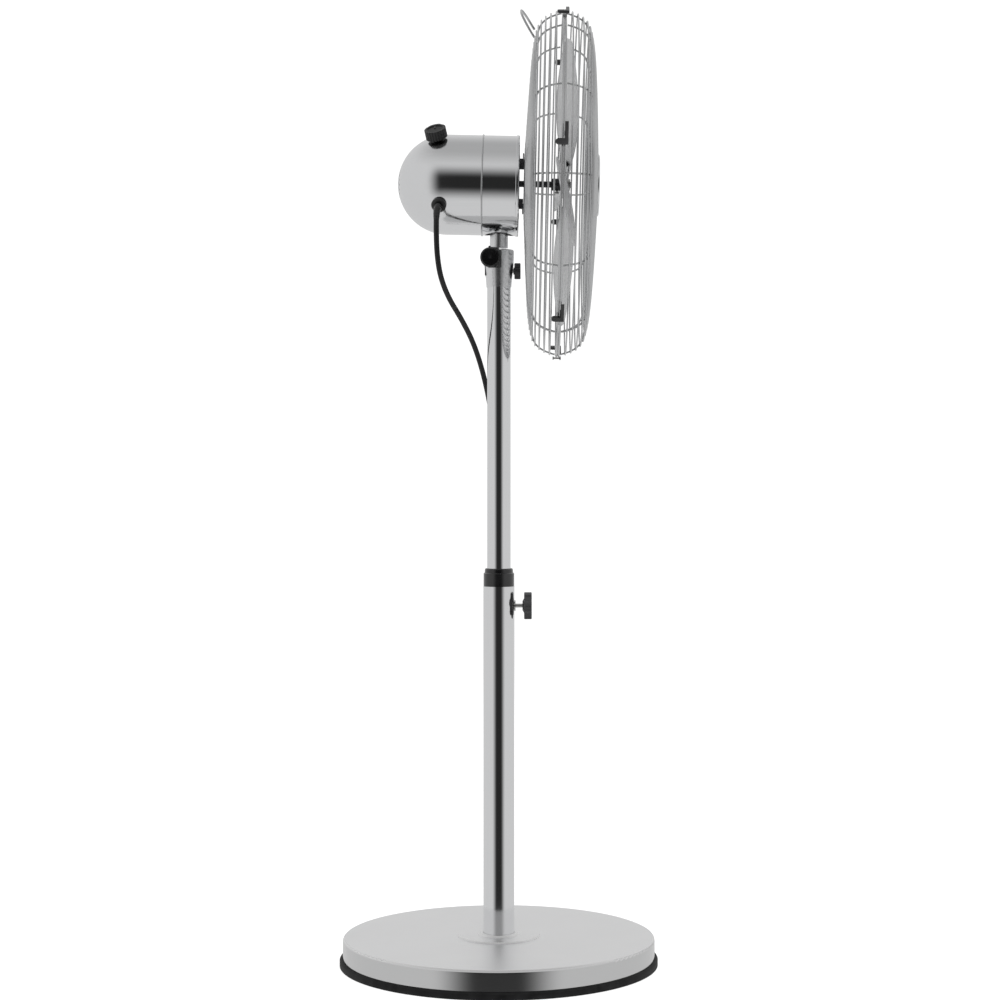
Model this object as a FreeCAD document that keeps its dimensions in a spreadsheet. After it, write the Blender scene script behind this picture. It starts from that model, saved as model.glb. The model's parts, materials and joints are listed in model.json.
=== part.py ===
"""Pedestal fan: chrome pole on a weighted round base, tilting and oscillating motor head, wire guard.

Lengths are in millimetres. +Z is up, the fan blows towards +X and the origin is on the floor,
on the pole's axis. Everything above the tilt pivot is drawn in the head's own frame, which
leans forward by the small angle head_lean.
"""

import FreeCAD
import Part
import Sketcher
import math
import os

Vector = FreeCAD.Vector
Placement = FreeCAD.Placement
Rotation = FreeCAD.Rotation
X_AXIS = Vector(1, 0, 0)
Y_AXIS = Vector(0, 1, 0)
Z_AXIS = Vector(0, 0, 1)

doc = FreeCAD.newDocument("PedestalFan")
sheet = doc.addObject("Spreadsheet::Sheet", "Sizes")

SIZES = [
    # base
    ("base_radius", 200, "chrome cover of the base"),
    ("base_top", 35, "top of the base above the floor"),
    ("base_skin", 1.2, "sheet of the base cover"),
    ("trim_radius", 204, "black ring round the foot of the base"),
    ("trim_height", 9, "height of that ring"),
    ("trim_width", 20, "radial width of that ring"),
    ("weight_radius", 195, "cast plate inside the base"),
    ("weight_height", 5, "thickness of the cast plate"),
    ("boss_radius", 26, "boss of the cast plate under the pole"),
    ("flange_radius", 53, "escutcheon at the foot of the pole"),
    ("flange_height", 2, "thickness of the escutcheon"),
    # pole
    ("lower_radius", 20, "outside of the lower tube"),
    ("lower_wall", 1.5, "wall of the lower tube"),
    ("lower_top", 484, "top of the lower tube"),
    ("upper_radius", 15.1, "outside of the upper tube"),
    ("upper_wall", 1.2, "wall of the upper tube"),
    ("upper_bottom", 310, "lower end of the upper tube when fully raised"),
    ("upper_top", 892, "upper end of the upper tube when fully raised"),
    ("slide_gap", 0.3, "clearance round the upper tube"),
    ("collar_top", 507, "top of the height collar"),
    ("collar_bottom", 436, "lower end of the collar's sleeve"),
    ("lock_height", 459, "axis of the height lock"),
    ("bolt_radius", 5, "bolt that holds the pole to the base"),
    ("screw_radius", 2.5, "screws of the hand knobs"),
    # knobs
    ("star_radius", 17.5, "lobed height knob"),
    ("star_depth", 9.9, "thickness of the lobed height knob"),
    ("clamp_radius", 10.5, "small lobed knob of the head socket"),
    ("clamp_depth", 8, "thickness of the small lobed knob"),
    ("clamp_height", 889, "axis of the small lobed knob"),
    ("tilt_knob_radius", 12.8, "round tilt knob"),
    # socket and tilt pivot
    ("socket_bottom", 868, "lower edge of the head socket"),
    ("socket_top", 916, "upper face of the head socket"),
    ("socket_radius", 19.3, "widest radius of the head socket"),
    ("pivot_x", -10.8, "tilt pivot before the pole axis"),
    ("pivot_height", 905, "tilt pivot above the floor"),
    ("ear_radius", 11.8, "round ears at the tilt pivot"),
    ("tongue_half", 5.5, "half the width of the tilt arm's tongue"),
    ("ear_inner", 5.9, "inner face of each ear"),
    ("ear_outer", 12.5, "outer face of each ear"),
    ("pivot_radius", 3, "tilt bolt"),
    # head frame
    ("head_height", 927, "origin of the head frame above the floor"),
    ("head_lean", 1.15, "forward lean of the head in degrees"),
    ("shaft_rise", 74.6, "motor shaft above the head frame's origin"),
    ("housing_rise", 71.6, "axis of the housing above the head frame's origin"),
    ("neck_radius", 11.7, "round neck under the motor"),
    ("neck_bottom", -8.4, "lower face of the neck in the head frame"),
    ("neck_top", 9.4, "upper face of the neck in the head frame"),
    ("swivel_radius", 5, "swivel pin of the oscillation"),
    # housing
    ("housing_radius", 64, "outside of the motor housing"),
    ("housing_skin", 1, "sheet of the housing"),
    ("housing_front", 24.5, "front face of the housing"),
    ("band_back", 20.5, "back edge of the band round the front"),
    ("housing_seam", -22.1, "seam between the two shells"),
    ("dome_start", -67.1, "where the rear cover starts to round off"),
    # motor
    ("stator_back", -22, "back of the stator stack"),
    ("stator_front", 2, "front of the stator stack"),
    ("stator_radius", 47, "outside of the stator stack"),
    ("rotor_radius", 25.6, "outside of the rotor"),
    ("shaft_radius", 4, "motor shaft"),
    ("shaft_back", -60, "rear end of the shaft"),
    ("shaft_front", 91, "front end of the shaft"),
    # guard
    ("rim_radius", 220.5, "centre line of the guard's rims"),
    ("guard_seam", 78, "plane where the two guards meet"),
    ("rim_wire", 1.2, "radius of the rim wires"),
    ("ring_wire", 1.0, "radius of the ring wires"),
    ("rib_wire", 1.2, "radius of the rib wires"),
    ("ring_pitch", 7.4, "distance between rings along the guard"),
    ("rib_count", 12, "ribs in each guard"),
    ("badge_radius", 39.5, "plain centre cap"),
    ("guard_back", 31.5, "rear plane of the guard"),
    ("guard_front", 124.5, "front plane of the guard"),
    # rotor
    ("blade_tip", 186, "tip radius of the blades"),
    ("blade_plane", 84, "middle plane of the blades"),
    ("blade_count", 4, "blades"),
    ("blade_sheet", 1.2, "thickness of the blades"),
    ("blade_width", 21, "how much a blade widens along the shaft at mid span"),
    ("hub_radius", 7.8, "hub of the blades"),
    # cord
    ("cord_radius", 3.4, "power cord"),
    ("grommet_radius", 9.5, "cord grommet"),
]


class Size:
    """A length that knows its value and how to work it out from the sheet."""

    def __init__(self, text, value):
        self.text = text
        self.value = value

    def __add__(self, other):
        other = as_size(other)
        return Size(f"({self.text} + {other.text})", self.value + other.value)

    def __sub__(self, other):
        other = as_size(other)
        return Size(f"({self.text} - {other.text})", self.value - other.value)

    def __mul__(self, factor):
        return Size(f"({self.text} * {factor})", self.value * factor)

    def __neg__(self):
        return Size(f"(0 - {self.text})", -self.value)


def as_size(number):
    if isinstance(number, Size):
        return number
    return Size(f"{number}", number)


class Named:
    """The sizes of the sheet, as attributes."""


size = Named()
for row, (alias, value, note) in enumerate(SIZES, start=1):
    sheet.set(f"A{row}", alias)
    sheet.set(f"B{row}", str(value))
    sheet.set(f"C{row}", note)
    sheet.setAlias(f"B{row}", alias)
    setattr(size, alias, Size(f"Sizes.{alias}", value))
doc.recompute()

nodes = []


def finished(thing, label, placement=None):
    """Name a sub-part, place it and list it for export."""
    thing.Label = label
    if placement is not None:
        thing.Placement = placement
    nodes.append(thing)
    return thing


def bind(thing, prop, number):
    """Set a property, and tie it to the sheet where the number comes from there."""
    if isinstance(number, Size):
        thing.setExpression(prop, number.text)
    else:
        setattr(thing, prop, number)


# Frames. In the axial frames local Z is the shaft's direction and local X points down.
HEAD = Placement(Vector(0, 0, size.head_height.value), Rotation(Y_AXIS, size.head_lean.value))
SHAFT = HEAD * Placement(Vector(0, 0, size.shaft_rise.value), Rotation(Y_AXIS, 90))
HOUSING = HEAD * Placement(Vector(0, 0, size.housing_rise.value), Rotation(Y_AXIS, 90))


def side(x, y, z):
    """A frame at a point of the pole whose Z looks along the world's +X."""
    return Placement(Vector(x, y, z), Rotation(Y_AXIS, 90))


def near(x, y, z):
    """A frame at a point whose Z looks along the world's -Y."""
    return Placement(Vector(x, y, z), Rotation(X_AXIS, 90))


def around(angle):
    """In an axial frame: local X points outwards at an angle from -Y towards +Z."""
    return Placement(Vector(), Rotation(Z_AXIS, -(angle + 90)))


def along(point, direction):
    """A frame at a point whose Z looks along a direction."""
    return Placement(point, Rotation(Z_AXIS, direction))


# Making solids


def plane_of(body, role):
    for feature in body.Origin.OriginFeatures:
        if feature.Role == role:
            return feature
    raise RuntimeError(f"{body.Label} has no {role}")


def arc_between(start, end, centre):
    """The shorter arc about a centre, and whether it runs from end to start."""
    first = math.atan2(start.y - centre.y, start.x - centre.x)
    last = math.atan2(end.y - centre.y, end.x - centre.x)
    radius = (start - centre).Length
    circle = Part.Circle(centre, Z_AXIS, radius)
    turn = (last - first) % (2 * math.pi)
    if turn < math.pi:
        return Part.ArcOfCircle(circle, first, first + turn), False
    return Part.ArcOfCircle(circle, last, last + 2 * math.pi - turn), True


def draw(sketch, outline, arcs):
    """A closed outline of lines, with an arc after each point named in arcs.

    arcs maps the index of a point to the centre of the arc that leaves it and its radius.
    """
    points = [Vector(as_size(a).value, as_size(b).value, 0) for a, b in outline]
    ends = []
    for i, start in enumerate(points):
        end = points[(i + 1) % len(points)]
        if i in arcs:
            (cx, cy), radius = arcs[i]
            arc, swapped = arc_between(start, end, Vector(as_size(cx).value, as_size(cy).value, 0))
            edge = sketch.addGeometry(arc, False)
            ends.append((edge, 2, 1) if swapped else (edge, 1, 2))
            limit = Sketcher.Constraint("Radius", edge, as_size(radius).value)
            tie(sketch, sketch.addConstraint(limit), radius)
        else:
            edge = sketch.addGeometry(Part.LineSegment(start, end), False)
            ends.append((edge, 1, 2))
    for i, (edge, first, last) in enumerate(ends):
        following, start, _ = ends[(i + 1) % len(ends)]
        sketch.addConstraint(Sketcher.Constraint("Coincident", edge, last, following, start))
    for (edge, first, _), (a, b) in zip(ends, outline):
        pin(sketch, edge, first, "DistanceX", -2, a)
        pin(sketch, edge, first, "DistanceY", -1, b)


def pin(sketch, edge, end, kind, axis, number):
    """Fix one coordinate of a point, on an axis of the sketch where it is nought."""
    value = as_size(number).value
    if value == 0:
        sketch.addConstraint(Sketcher.Constraint("PointOnObject", edge, end, axis))
        return
    index = sketch.addConstraint(Sketcher.Constraint(kind, -1, 1, edge, end, value))
    tie(sketch, index, number)


def tie(sketch, index, number):
    if isinstance(number, Size):
        sketch.setExpression(f"Constraints[{index}]", number.text)


def new_sketch(body, name, role):
    sketch = body.newObject("Sketcher::SketchObject", name)
    sketch.AttachmentSupport = [(plane_of(body, role), "")]
    sketch.MapMode = "FlatFace"
    return sketch


def lathe(name, outline, arcs=None):
    """A body turned about its own Z from an outline of (radius, height) points."""
    body = doc.addObject("PartDesign::Body", name)
    sketch = new_sketch(body, f"{name}_section", "XZ_Plane")
    draw(sketch, outline, arcs or {})
    turned = body.newObject("PartDesign::Revolution", f"{name}_turned")
    turned.Profile = sketch
    turned.ReferenceAxis = (sketch, ["V_Axis"])
    turned.Angle = 360
    sketch.Visibility = False
    return body


def pad(name, outline, length, arcs=None):
    """A body raised from an outline in its own XY plane."""
    body = doc.addObject("PartDesign::Body", name)
    sketch = new_sketch(body, f"{name}_outline", "XY_Plane")
    draw(sketch, outline, arcs or {})
    raised = body.newObject("PartDesign::Pad", f"{name}_raised")
    raised.Profile = sketch
    bind(raised, "Length", length)
    sketch.Visibility = False
    return body


def ring(name, inner, outer, bottom, top):
    """A plain turned ring, or a disc where the inner radius is nought."""
    return lathe(name, [(inner, bottom), (outer, bottom), (outer, top), (inner, top)])


def rod(name, radius, length, placement=None, bottom=0):
    """A cylinder along its own Z."""
    thing = doc.addObject("Part::Cylinder", name)
    bind(thing, "Radius", radius)
    bind(thing, "Height", length)
    frame = placement or Placement()
    thing.Placement = frame * Placement(Vector(0, 0, as_size(bottom).value), Rotation())
    return thing


def block(name, length, width, height, placement=None):
    """A box centred on its own Z, standing on its own XY plane."""
    thing = doc.addObject("Part::Box", name)
    bind(thing, "Length", length)
    bind(thing, "Width", width)
    bind(thing, "Height", height)
    corner = Vector(-as_size(length).value / 2, -as_size(width).value / 2, 0)
    thing.Placement = (placement or Placement()) * Placement(corner, Rotation())
    return thing


def fused(name, parts):
    thing = doc.addObject("Part::MultiFuse", name)
    thing.Shapes = parts
    thing.Refine = True
    return thing


def less(name, base, tools):
    """The base without the tools."""
    tool = tools[0] if len(tools) == 1 else fused(f"{name}_tools", tools)
    thing = doc.addObject("Part::Cut", name)
    thing.Base = base
    thing.Tool = tool
    return thing


def plain(name, shape, placement=None):
    """A sub-part whose shape comes straight from Part functions."""
    thing = doc.addObject("Part::Feature", name)
    thing.Shape = shape
    thing.Placement = placement or Placement()
    return thing


def hexagon(across, height):
    """A hexagonal prism on its own XY plane."""
    reach = across / math.sqrt(3)
    corners = [Vector(reach * math.cos(math.radians(60 * i)), reach * math.sin(math.radians(60 * i)), 0)
               for i in range(6)]
    outline = Part.makePolygon(corners + corners[:1])
    return Part.Face(outline).extrude(Vector(0, 0, height))


def star(radius, depth, lobes, dent, bore_depth, bore):
    """A knob with rounded lobes, standing on its own XY plane, with a blind bore from below."""
    knob = Part.makeCylinder(radius, depth)
    for i in range(lobes):
        turn = math.radians((i + 0.5) * 360 / lobes)
        centre = Vector(math.cos(turn), math.sin(turn), 0) * (radius + dent * 0.55)
        knob = knob.cut(Part.makeCylinder(dent, depth, centre))
    knob = knob.makeFillet(min(1.2, depth / 6), [e for e in knob.Edges if on_end(e, depth)])
    return knob.cut(Part.makeCylinder(bore, bore_depth))


def on_end(edge, depth):
    """Whether an edge lies in the top or bottom face."""
    box = edge.BoundBox
    return box.ZLength < 1e-6 and (abs(box.ZMin) < 1e-6 or abs(box.ZMin - depth) < 1e-6)


# Paths made of straight runs and tangent arcs


def arc_radii(points, share=0.45):
    """The radius at each inner point: a share of the shorter run over the tangent of half the turn."""
    radii = []
    for before, here, after in zip(points, points[1:], points[2:]):
        turn = (here - before).getAngle(after - here)
        shorter = min((here - before).Length, (after - here).Length)
        radii.append(share * shorter / math.tan(turn / 2))
    return radii


def smooth_edges(points, cuts=(), share=0.45):
    """Straight runs joined by tangent arcs, as one list of edges for each piece.

    cuts names the runs that are cut in two, halfway along their straight stretch.
    """
    pieces = [[]]
    last = points[0]
    corners = zip(points, points[1:], points[2:], arc_radii(points, share))
    for run, (before, here, after, radius) in enumerate(corners):
        into = (here - before).normalize()
        out = (after - here).normalize()
        back = radius * math.tan(into.getAngle(out) / 2)
        start = here - into * back
        end = here + out * back
        inward = (out - into).normalize()
        middle = here + inward * (radius / math.cos(into.getAngle(out) / 2) - radius)
        if run in cuts:
            halfway = (last + start) * 0.5
            pieces[-1].append(Part.LineSegment(last, halfway).toShape())
            pieces.append([])
            last = halfway
        if (start - last).Length > 1e-4:
            pieces[-1].append(Part.LineSegment(last, start).toShape())
        pieces[-1].append(Part.Arc(start, middle, end).toShape())
        last = end
    pieces[-1].append(Part.LineSegment(last, points[-1]).toShape())
    return pieces


def smooth_wire(points, share=0.45):
    """A wire of straight runs joined by tangent arcs."""
    return Part.Wire(smooth_edges(points, (), share)[0])


def tube_along(points, radius, share=0.45):
    """A round solid along a smooth wire."""
    return swept(smooth_wire(points, share), radius)


def swept(path, radius):
    """A round solid along a wire."""
    first = path.OrderedEdges[0]
    start = path.OrderedVertexes[0].Point
    direction = first.tangentAt(first.FirstParameter)
    profile = Part.Wire([Part.makeCircle(radius, start, direction)])
    return path.makePipeShell([profile], True, False)


# Base


def base():
    top = size.base_top
    skin = size.base_skin
    foot = size.trim_height + 0.3
    edge = 4
    outer = size.base_radius
    cover = lathe("base_cover_shell", [
        (size.bolt_radius + 0.5, top - skin),
        (outer - edge, top - skin),
        (outer - skin, top - edge),
        (outer - skin, foot),
        (outer, foot),
        (outer, top - edge),
        (outer - edge, top),
        (size.bolt_radius + 0.5, top),
    ], {1: ((outer - edge, top - edge), 4 - 1.2), 5: ((outer - edge, top - edge), 4)})
    finished(cover, "base_cover")

    inner = size.trim_radius - size.trim_width
    trim = lathe("trim_ring", [
        (inner, 0), (size.trim_radius, 0), (size.trim_radius, size.trim_height - 2),
        (size.trim_radius - 2, size.trim_height), (size.base_radius - 3, size.trim_height),
        (size.base_radius - 3, 4), (inner, 4),
    ])
    finished(trim, "base_trim_ring")

    floor = 4.3
    plate = size.weight_height
    weight = lathe("cast_plate", [
        (size.bolt_radius + 0.3, floor), (size.weight_radius, floor),
        (size.weight_radius, plate + floor), (size.boss_radius + 6, plate + floor),
        (size.boss_radius, top - 6), (size.boss_radius, top - skin - 0.3),
        (size.bolt_radius + 0.3, top - skin - 0.3),
    ])
    finished(weight, "base_weight")

    flange = lathe("escutcheon", [
        (size.lower_radius + 0.2, top + 0.05), (size.flange_radius, top + 0.05),
        (size.flange_radius - 1.5, size.flange_height + top), (size.lower_radius + 6, size.flange_height + top),
        (size.lower_radius + 4, size.flange_height + top + 2.5),
        (size.lower_radius + 0.2, size.flange_height + top + 2.5),
    ])
    finished(flange, "post_flange")

    plug_radius = size.lower_radius - size.lower_wall - 0.05
    plug = ring("pole_plug", size.bolt_radius + 0.05, plug_radius, top + 0.1, top + 26)
    finished(plug, "foot_plug")

    head = plain("bolt_head", hexagon(17, 3.4), Placement(Vector(0, 0, 0.6), Rotation()))
    shank = rod("bolt_shank", size.bolt_radius, size.base_top + 16, bottom=3.9)
    finished(fused("pole_bolt", [head, shank]), "post_bolt")


# Pole


def pole():
    hole = rod("lock_hole", 4.7, 30, side(0, 0, size.lock_height.value))
    tube = ring("lower_pole", size.lower_radius - size.lower_wall, size.lower_radius,
                size.base_top + 0.1, size.lower_top)
    finished(less("lower_pole_drilled", tube, [hole]), "lower_tube")

    upper = ring("upper_pole", size.upper_radius - size.upper_wall, size.upper_radius,
                 size.upper_bottom, size.upper_top)
    finished(upper, "upper_tube")

    bush = ring("slide_bush", size.upper_radius, size.lower_radius - size.lower_wall - size.slide_gap,
                size.upper_bottom - 3, size.upper_bottom + 18)
    finished(bush, "tube_bottom_bush")

    bore = size.upper_radius + size.slide_gap
    sleeve = size.lower_radius - size.lower_wall - 0.05
    collar = lathe("collar_turned", [
        (bore, size.collar_bottom), (sleeve, size.collar_bottom), (sleeve, size.lower_top + 0.1),
        (size.lower_radius - 0.25, size.lower_top + 0.1), (size.lower_radius - 0.25, size.collar_top - 6.5),
        (size.lower_radius - 1.6, size.collar_top - 5.5), (size.lower_radius - 2, size.collar_top - 1),
        (size.lower_radius - 3, size.collar_top), (bore, size.collar_top),
    ])
    gap = rod("collar_hole", 4.7, 30, side(0, 0, size.lock_height.value))
    finished(less("collar_drilled", collar, [gap]), "height_collar")

    lock = side(0, 0, size.lock_height.value)
    nut = lathe("lock_nut_turned", [
        (size.screw_radius + 0.05, 16.2), (4.6, 16.2), (4.6, 20.2), (7, 20.2), (7, 21.4),
        (size.screw_radius + 0.05, 21.4),
    ])
    finished(nut, "height_nut", lock)
    screw = rod("lock_screw", size.screw_radius, 22.6, lock, 15.45)
    finished(screw, "height_screw")
    knob = star(size.star_radius.value, size.star_depth.value, 7, 6, 5.8, size.screw_radius.value)
    hub = Part.makeCone(6, 9.5, 2.1, Vector(0, 0, -2.1))
    knob = knob.fuse(hub.cut(Part.makeCylinder(size.screw_radius.value, 3, Vector(0, 0, -2.6)))).removeSplitter()
    finished(plain("lock_knob", knob, lock * Placement(Vector(0, 0, 32.4), Rotation())), "height_knob")


# Socket on the pole, tilt pivot and neck


def socket():
    radius = size.socket_radius
    shell = lathe("socket_turned", [
        (0, size.upper_top + 0.3), (size.upper_radius + 0.05, size.upper_top + 0.3),
        (size.upper_radius + 0.05, size.socket_bottom), (size.upper_radius + 0.9, size.socket_bottom),
        (size.upper_radius + 1.4, size.socket_bottom + 8),
        (radius - 0.6, size.socket_top - 20), (radius, size.socket_top - 8),
        (radius, size.socket_top - 1.2), (radius - 1.2, size.socket_top), (0, size.socket_top),
    ])
    pivot = near(size.pivot_x.value, 0, size.pivot_height.value)
    ears = rod("ears", size.ear_radius, size.ear_outer * 2, pivot, -size.ear_outer)
    web = block("ear_web", 12, 14, 22,
                Placement(Vector(-12, 0, size.pivot_height.value - 22), Rotation()))
    pocket = doc.addObject("Part::Cylinder", "tongue_pocket")
    pocket.Radius = size.ear_radius.value + 0.6
    pocket.Height = size.ear_inner.value * 2
    pocket.Placement = pivot * Placement(Vector(0, 0, -size.ear_inner.value), Rotation())
    throat = block("tongue_throat", 34, size.ear_inner * 2, 24,
                   Placement(Vector(-14.6, 0, size.pivot_height.value), Rotation()))
    bolt_hole = rod("pivot_hole", size.pivot_radius + 0.04, 60, pivot, -30)
    shaved = block("ear_top", 12.5, 40, 12, Placement(Vector(20, 0, size.socket_top.value), Rotation()))
    pin_hole = rod("clamp_hole", size.screw_radius + 0.05, 12, side(12, 0, size.clamp_height.value))
    depth = size.upper_top - size.socket_bottom + 1
    bore = rod("socket_bore", size.upper_radius + 0.05, depth, Placement(), size.socket_bottom - 0.7)
    flanks = []
    for way in (-1, 1):
        frame = Placement(Vector(-12, way * (size.ear_outer.value + 5), size.upper_top.value), Rotation())
        flanks.append(block(f"flank_{way + 2}", 31, 10, 27, frame))
    whole = less("socket_flanked", fused("socket_whole", [shell, ears, web]), flanks)
    tools = [pocket, throat, bolt_hole, shaved, pin_hole, bore]
    finished(less("socket_cut", whole, tools), "head_socket")

    shank = rod("pivot_shank", size.pivot_radius, 36, pivot, -16.5)
    head = plain("pivot_head", hexagon(10, 3.6), pivot * Placement(Vector(0, 0, -17), Rotation()))
    finished(fused("pivot_bolt", [shank, head]), "tilt_bolt")
    washer = ring("pivot_washer", size.pivot_radius + 0.3, 8, 12.7, 13.7)
    finished(washer, "tilt_washer", pivot)
    knob = lathe("tilt_knob_turned", [
        (size.pivot_radius + 0.05, 14), (8.5, 14), (size.tilt_knob_radius - 0.6, 15.5),
        (size.tilt_knob_radius, 17), (size.tilt_knob_radius, 23),
        (size.tilt_knob_radius - 2, 25), (0, 26), (0, 20), (size.pivot_radius + 0.05, 20),
    ])
    finished(knob, "tilt_knob", pivot)

    clamp = side(0, 0, size.clamp_height.value)
    screw = rod("clamp_screw", size.screw_radius, 10, clamp, 15.45)
    finished(screw, "socket_screw")
    knob = star(size.clamp_radius.value, size.clamp_depth.value, 5, 4, 5.6, size.screw_radius.value)
    hub = Part.makeCylinder(4.6, 1.2, Vector(0, 0, -1.2))
    hub = hub.cut(Part.makeCylinder(size.screw_radius.value, 2, Vector(0, 0, -1.6)))
    knob = knob.fuse(hub).removeSplitter()
    finished(plain("clamp_knob", knob, clamp * Placement(Vector(0, 0, 19.9), Rotation())), "socket_knob")


def tilt_arm():
    """The neck with its tongue below, and the swivel pin on top of it."""
    neck = lathe("neck_turned", [
        (0, size.neck_bottom), (size.neck_radius - 0.6, size.neck_bottom),
        (size.neck_radius, size.neck_bottom + 0.6), (size.neck_radius, size.neck_top),
        (size.swivel_radius, size.neck_top), (size.swivel_radius, 23.2), (0, 23.2),
    ])
    neck.Placement = HEAD
    pivot = near(size.pivot_x.value, 0, size.pivot_height.value)
    eye = rod("tongue_eye", size.ear_radius - 0.8, size.tongue_half * 2, pivot, -size.tongue_half)
    stem = block("tongue_stem", 13.5, size.tongue_half * 2, 16,
                 Placement(Vector(-6.6, 0, size.pivot_height.value), Rotation()))
    hole = rod("tongue_hole", size.pivot_radius + 0.04, 40, pivot, -20)
    whole = fused("arm_whole", [neck, eye, stem])
    finished(less("arm_cut", whole, [hole]), "tilt_arm")


# Housing


def dome_point(u, angle):
    """A point and the outward normal of the rear cover at u, at an angle from the top towards -Y."""
    past = size.dome_start.value - u
    local = math.sqrt(size.housing_radius.value ** 2 - past ** 2)
    turn = math.radians(angle)
    radial = Vector(0, -math.sin(turn), math.cos(turn)) * local
    centre = Vector(u, 0, size.housing_rise.value)
    normal = (Vector(-past, 0, 0) + radial).normalize()
    return centre + radial, normal


def vent_holes():
    """Small holes in rings about the rear tip."""
    holes = []
    tip = size.dome_start.value - size.housing_radius.value - 3
    for turns, reach in ((1, 0), (6, 6), (12, 12), (18, 18)):
        for i in range(turns):
            angle = math.radians(360 / turns * i)
            centre = Vector(reach * math.cos(angle), reach * math.sin(angle), tip)
            holes.append(Part.makeCylinder(1.5, 14, centre))
    return Part.makeCompound(holes)


def housing():
    radius = size.housing_radius
    skin = size.housing_skin
    back = size.dome_start - radius
    dome = lathe("dome_turned", [
        (radius, size.housing_seam - 0.25), (radius - skin, size.housing_seam - 0.25),
        (radius - skin, size.dome_start), (0, back + skin), (0, back), (radius, size.dome_start),
    ], {2: ((0, size.dome_start), radius - skin), 4: ((0, size.dome_start), radius)})
    dome.Placement = HOUSING
    vents = plain("vents", vent_holes(), HOUSING)
    holes = [vents]
    for name, u, angle, reach in (
        ("speed_hole", SPEED_U, SPEED_ANGLE, 3.4),
        ("swing_hole", SWING_U, 0, 3.0),
        ("cord_hole", CORD_U, CORD_ANGLE, 6.1),
    ):
        point, normal = dome_point(u, angle)
        holes.append(rod(name, reach, 12, HEAD * along(point - normal * 6, normal)))
    finished(less("dome_cut", dome, holes), "rear_cover")

    front = size.housing_front
    shell = lathe("front_turned", [
        (radius - skin, size.housing_seam + 0.05), (radius, size.housing_seam + 0.05),
        (radius, size.band_back), (radius + 0.9, size.band_back + 0.6), (radius + 0.9, front - 1),
        (radius - 0.2, front), (radius - 5, front), (radius - 5, front - 1), (radius - skin, front - 1.5),
    ])
    shell.Placement = HOUSING
    mouth = rod("neck_mouth", size.neck_radius + 6.5, 24, HEAD, -4)
    finished(less("front_cut", shell, [mouth]), "front_housing")

    plate = lathe("front_disc", [
        (9, front - 2.8), (radius - 6.5, front - 2.8), (radius - 6.5, front - 1.6), (9, front - 1.6),
    ])
    plate.Placement = HOUSING
    shaft_room = rod("shaft_room", 8, 20, SHAFT, 14)
    screws = []
    screw_rooms = []
    for angle in (45, 135, 225, 315):
        turn = math.radians(angle)
        centre = Vector(53 * math.cos(turn), 53 * math.sin(turn), 0)
        shank = Part.makeCylinder(1.8, 31, centre + Vector(0, 0, -8))
        head = Part.makeCylinder(3.6, 1.8, centre + Vector(0, 0, 23.0))
        screws.append(shank.fuse(head).removeSplitter())
        screw_rooms.append(Part.makeCylinder(1.85, 6, centre + Vector(0, 0, 19)))
    rooms = plain("screw_rooms", Part.makeCompound(screw_rooms), SHAFT)
    finished(less("front_disc_cut", plate, [shaft_room, rooms]), "front_plate")
    finished(plain("front_screws", Part.makeCompound(screws), SHAFT), "plate_screws")


# Controls on the housing: distance along the shaft and angle from the top towards -Y.
SPEED_U = -80.5
SPEED_ANGLE = 30
SWING_U = -82
CORD_U = -75.4
CORD_ANGLE = 119.4


def controls():
    point, normal = dome_point(SPEED_U, SPEED_ANGLE)
    seat = HEAD * along(point, normal)
    dial = Part.makeCylinder(13.8, 12.4, Vector(0, 0, 2.2))
    for i in range(24):
        turn = math.radians(i * 15)
        notch = Part.makeCylinder(0.9, 14, Vector(14.0 * math.cos(turn), 14.0 * math.sin(turn), 2))
        dial = dial.cut(notch)
    dial = dial.cut(Part.makeCone(9.2, 11.4, 1.2, Vector(0, 0, 13.5)))
    pointer = Part.makeBox(2, 7.5, 0.9, Vector(-1, 2.5, 13.3))
    dial = dial.fuse(pointer).removeSplitter()
    dial = dial.fuse(Part.makeCylinder(2.95, 14.2, Vector(0, 0, -12))).removeSplitter()
    finished(plain("dial", dial, seat), "speed_knob")
    switch = Part.makeBox(22, 26, 14, Vector(-11, -13, -26.6))
    switch = switch.fuse(Part.makeCylinder(5, 5, Vector(0, 0, -12.7)).cut(
        Part.makeCylinder(3.0, 6, Vector(0, 0, -12.2))))
    switch = switch.cut(Part.makeCylinder(3.0, 6, Vector(0, 0, -14)))
    finished(plain("switch_box", switch.removeSplitter(), seat), "speed_switch")

    point, normal = dome_point(SWING_U, 0)
    seat = HEAD * along(point, normal)
    pull = Part.makeCylinder(8.8, 9.5, Vector(0, 0, 5.2))
    pull = pull.makeFillet(2.2, [e for e in pull.Edges if e.BoundBox.ZLength < 1e-6 and e.BoundBox.ZMin > 10])
    pull = pull.fuse(Part.makeCylinder(2.6, 21, Vector(0, 0, -15))).removeSplitter()
    finished(plain("pull_button", pull, seat), "oscillation_knob")

    point, normal = dome_point(CORD_U, CORD_ANGLE)
    seat = HEAD * along(point, normal)
    boss = lathe("grommet_turned", [
        (0, -4), (6, -4), (6, 0.6), (size.grommet_radius, 0.6), (size.grommet_radius, 4.4),
        (size.grommet_radius - 1.6, 6), (0, 6),
    ])
    finished(boss, "cord_grommet", seat)


# Motor and oscillation drive


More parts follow.
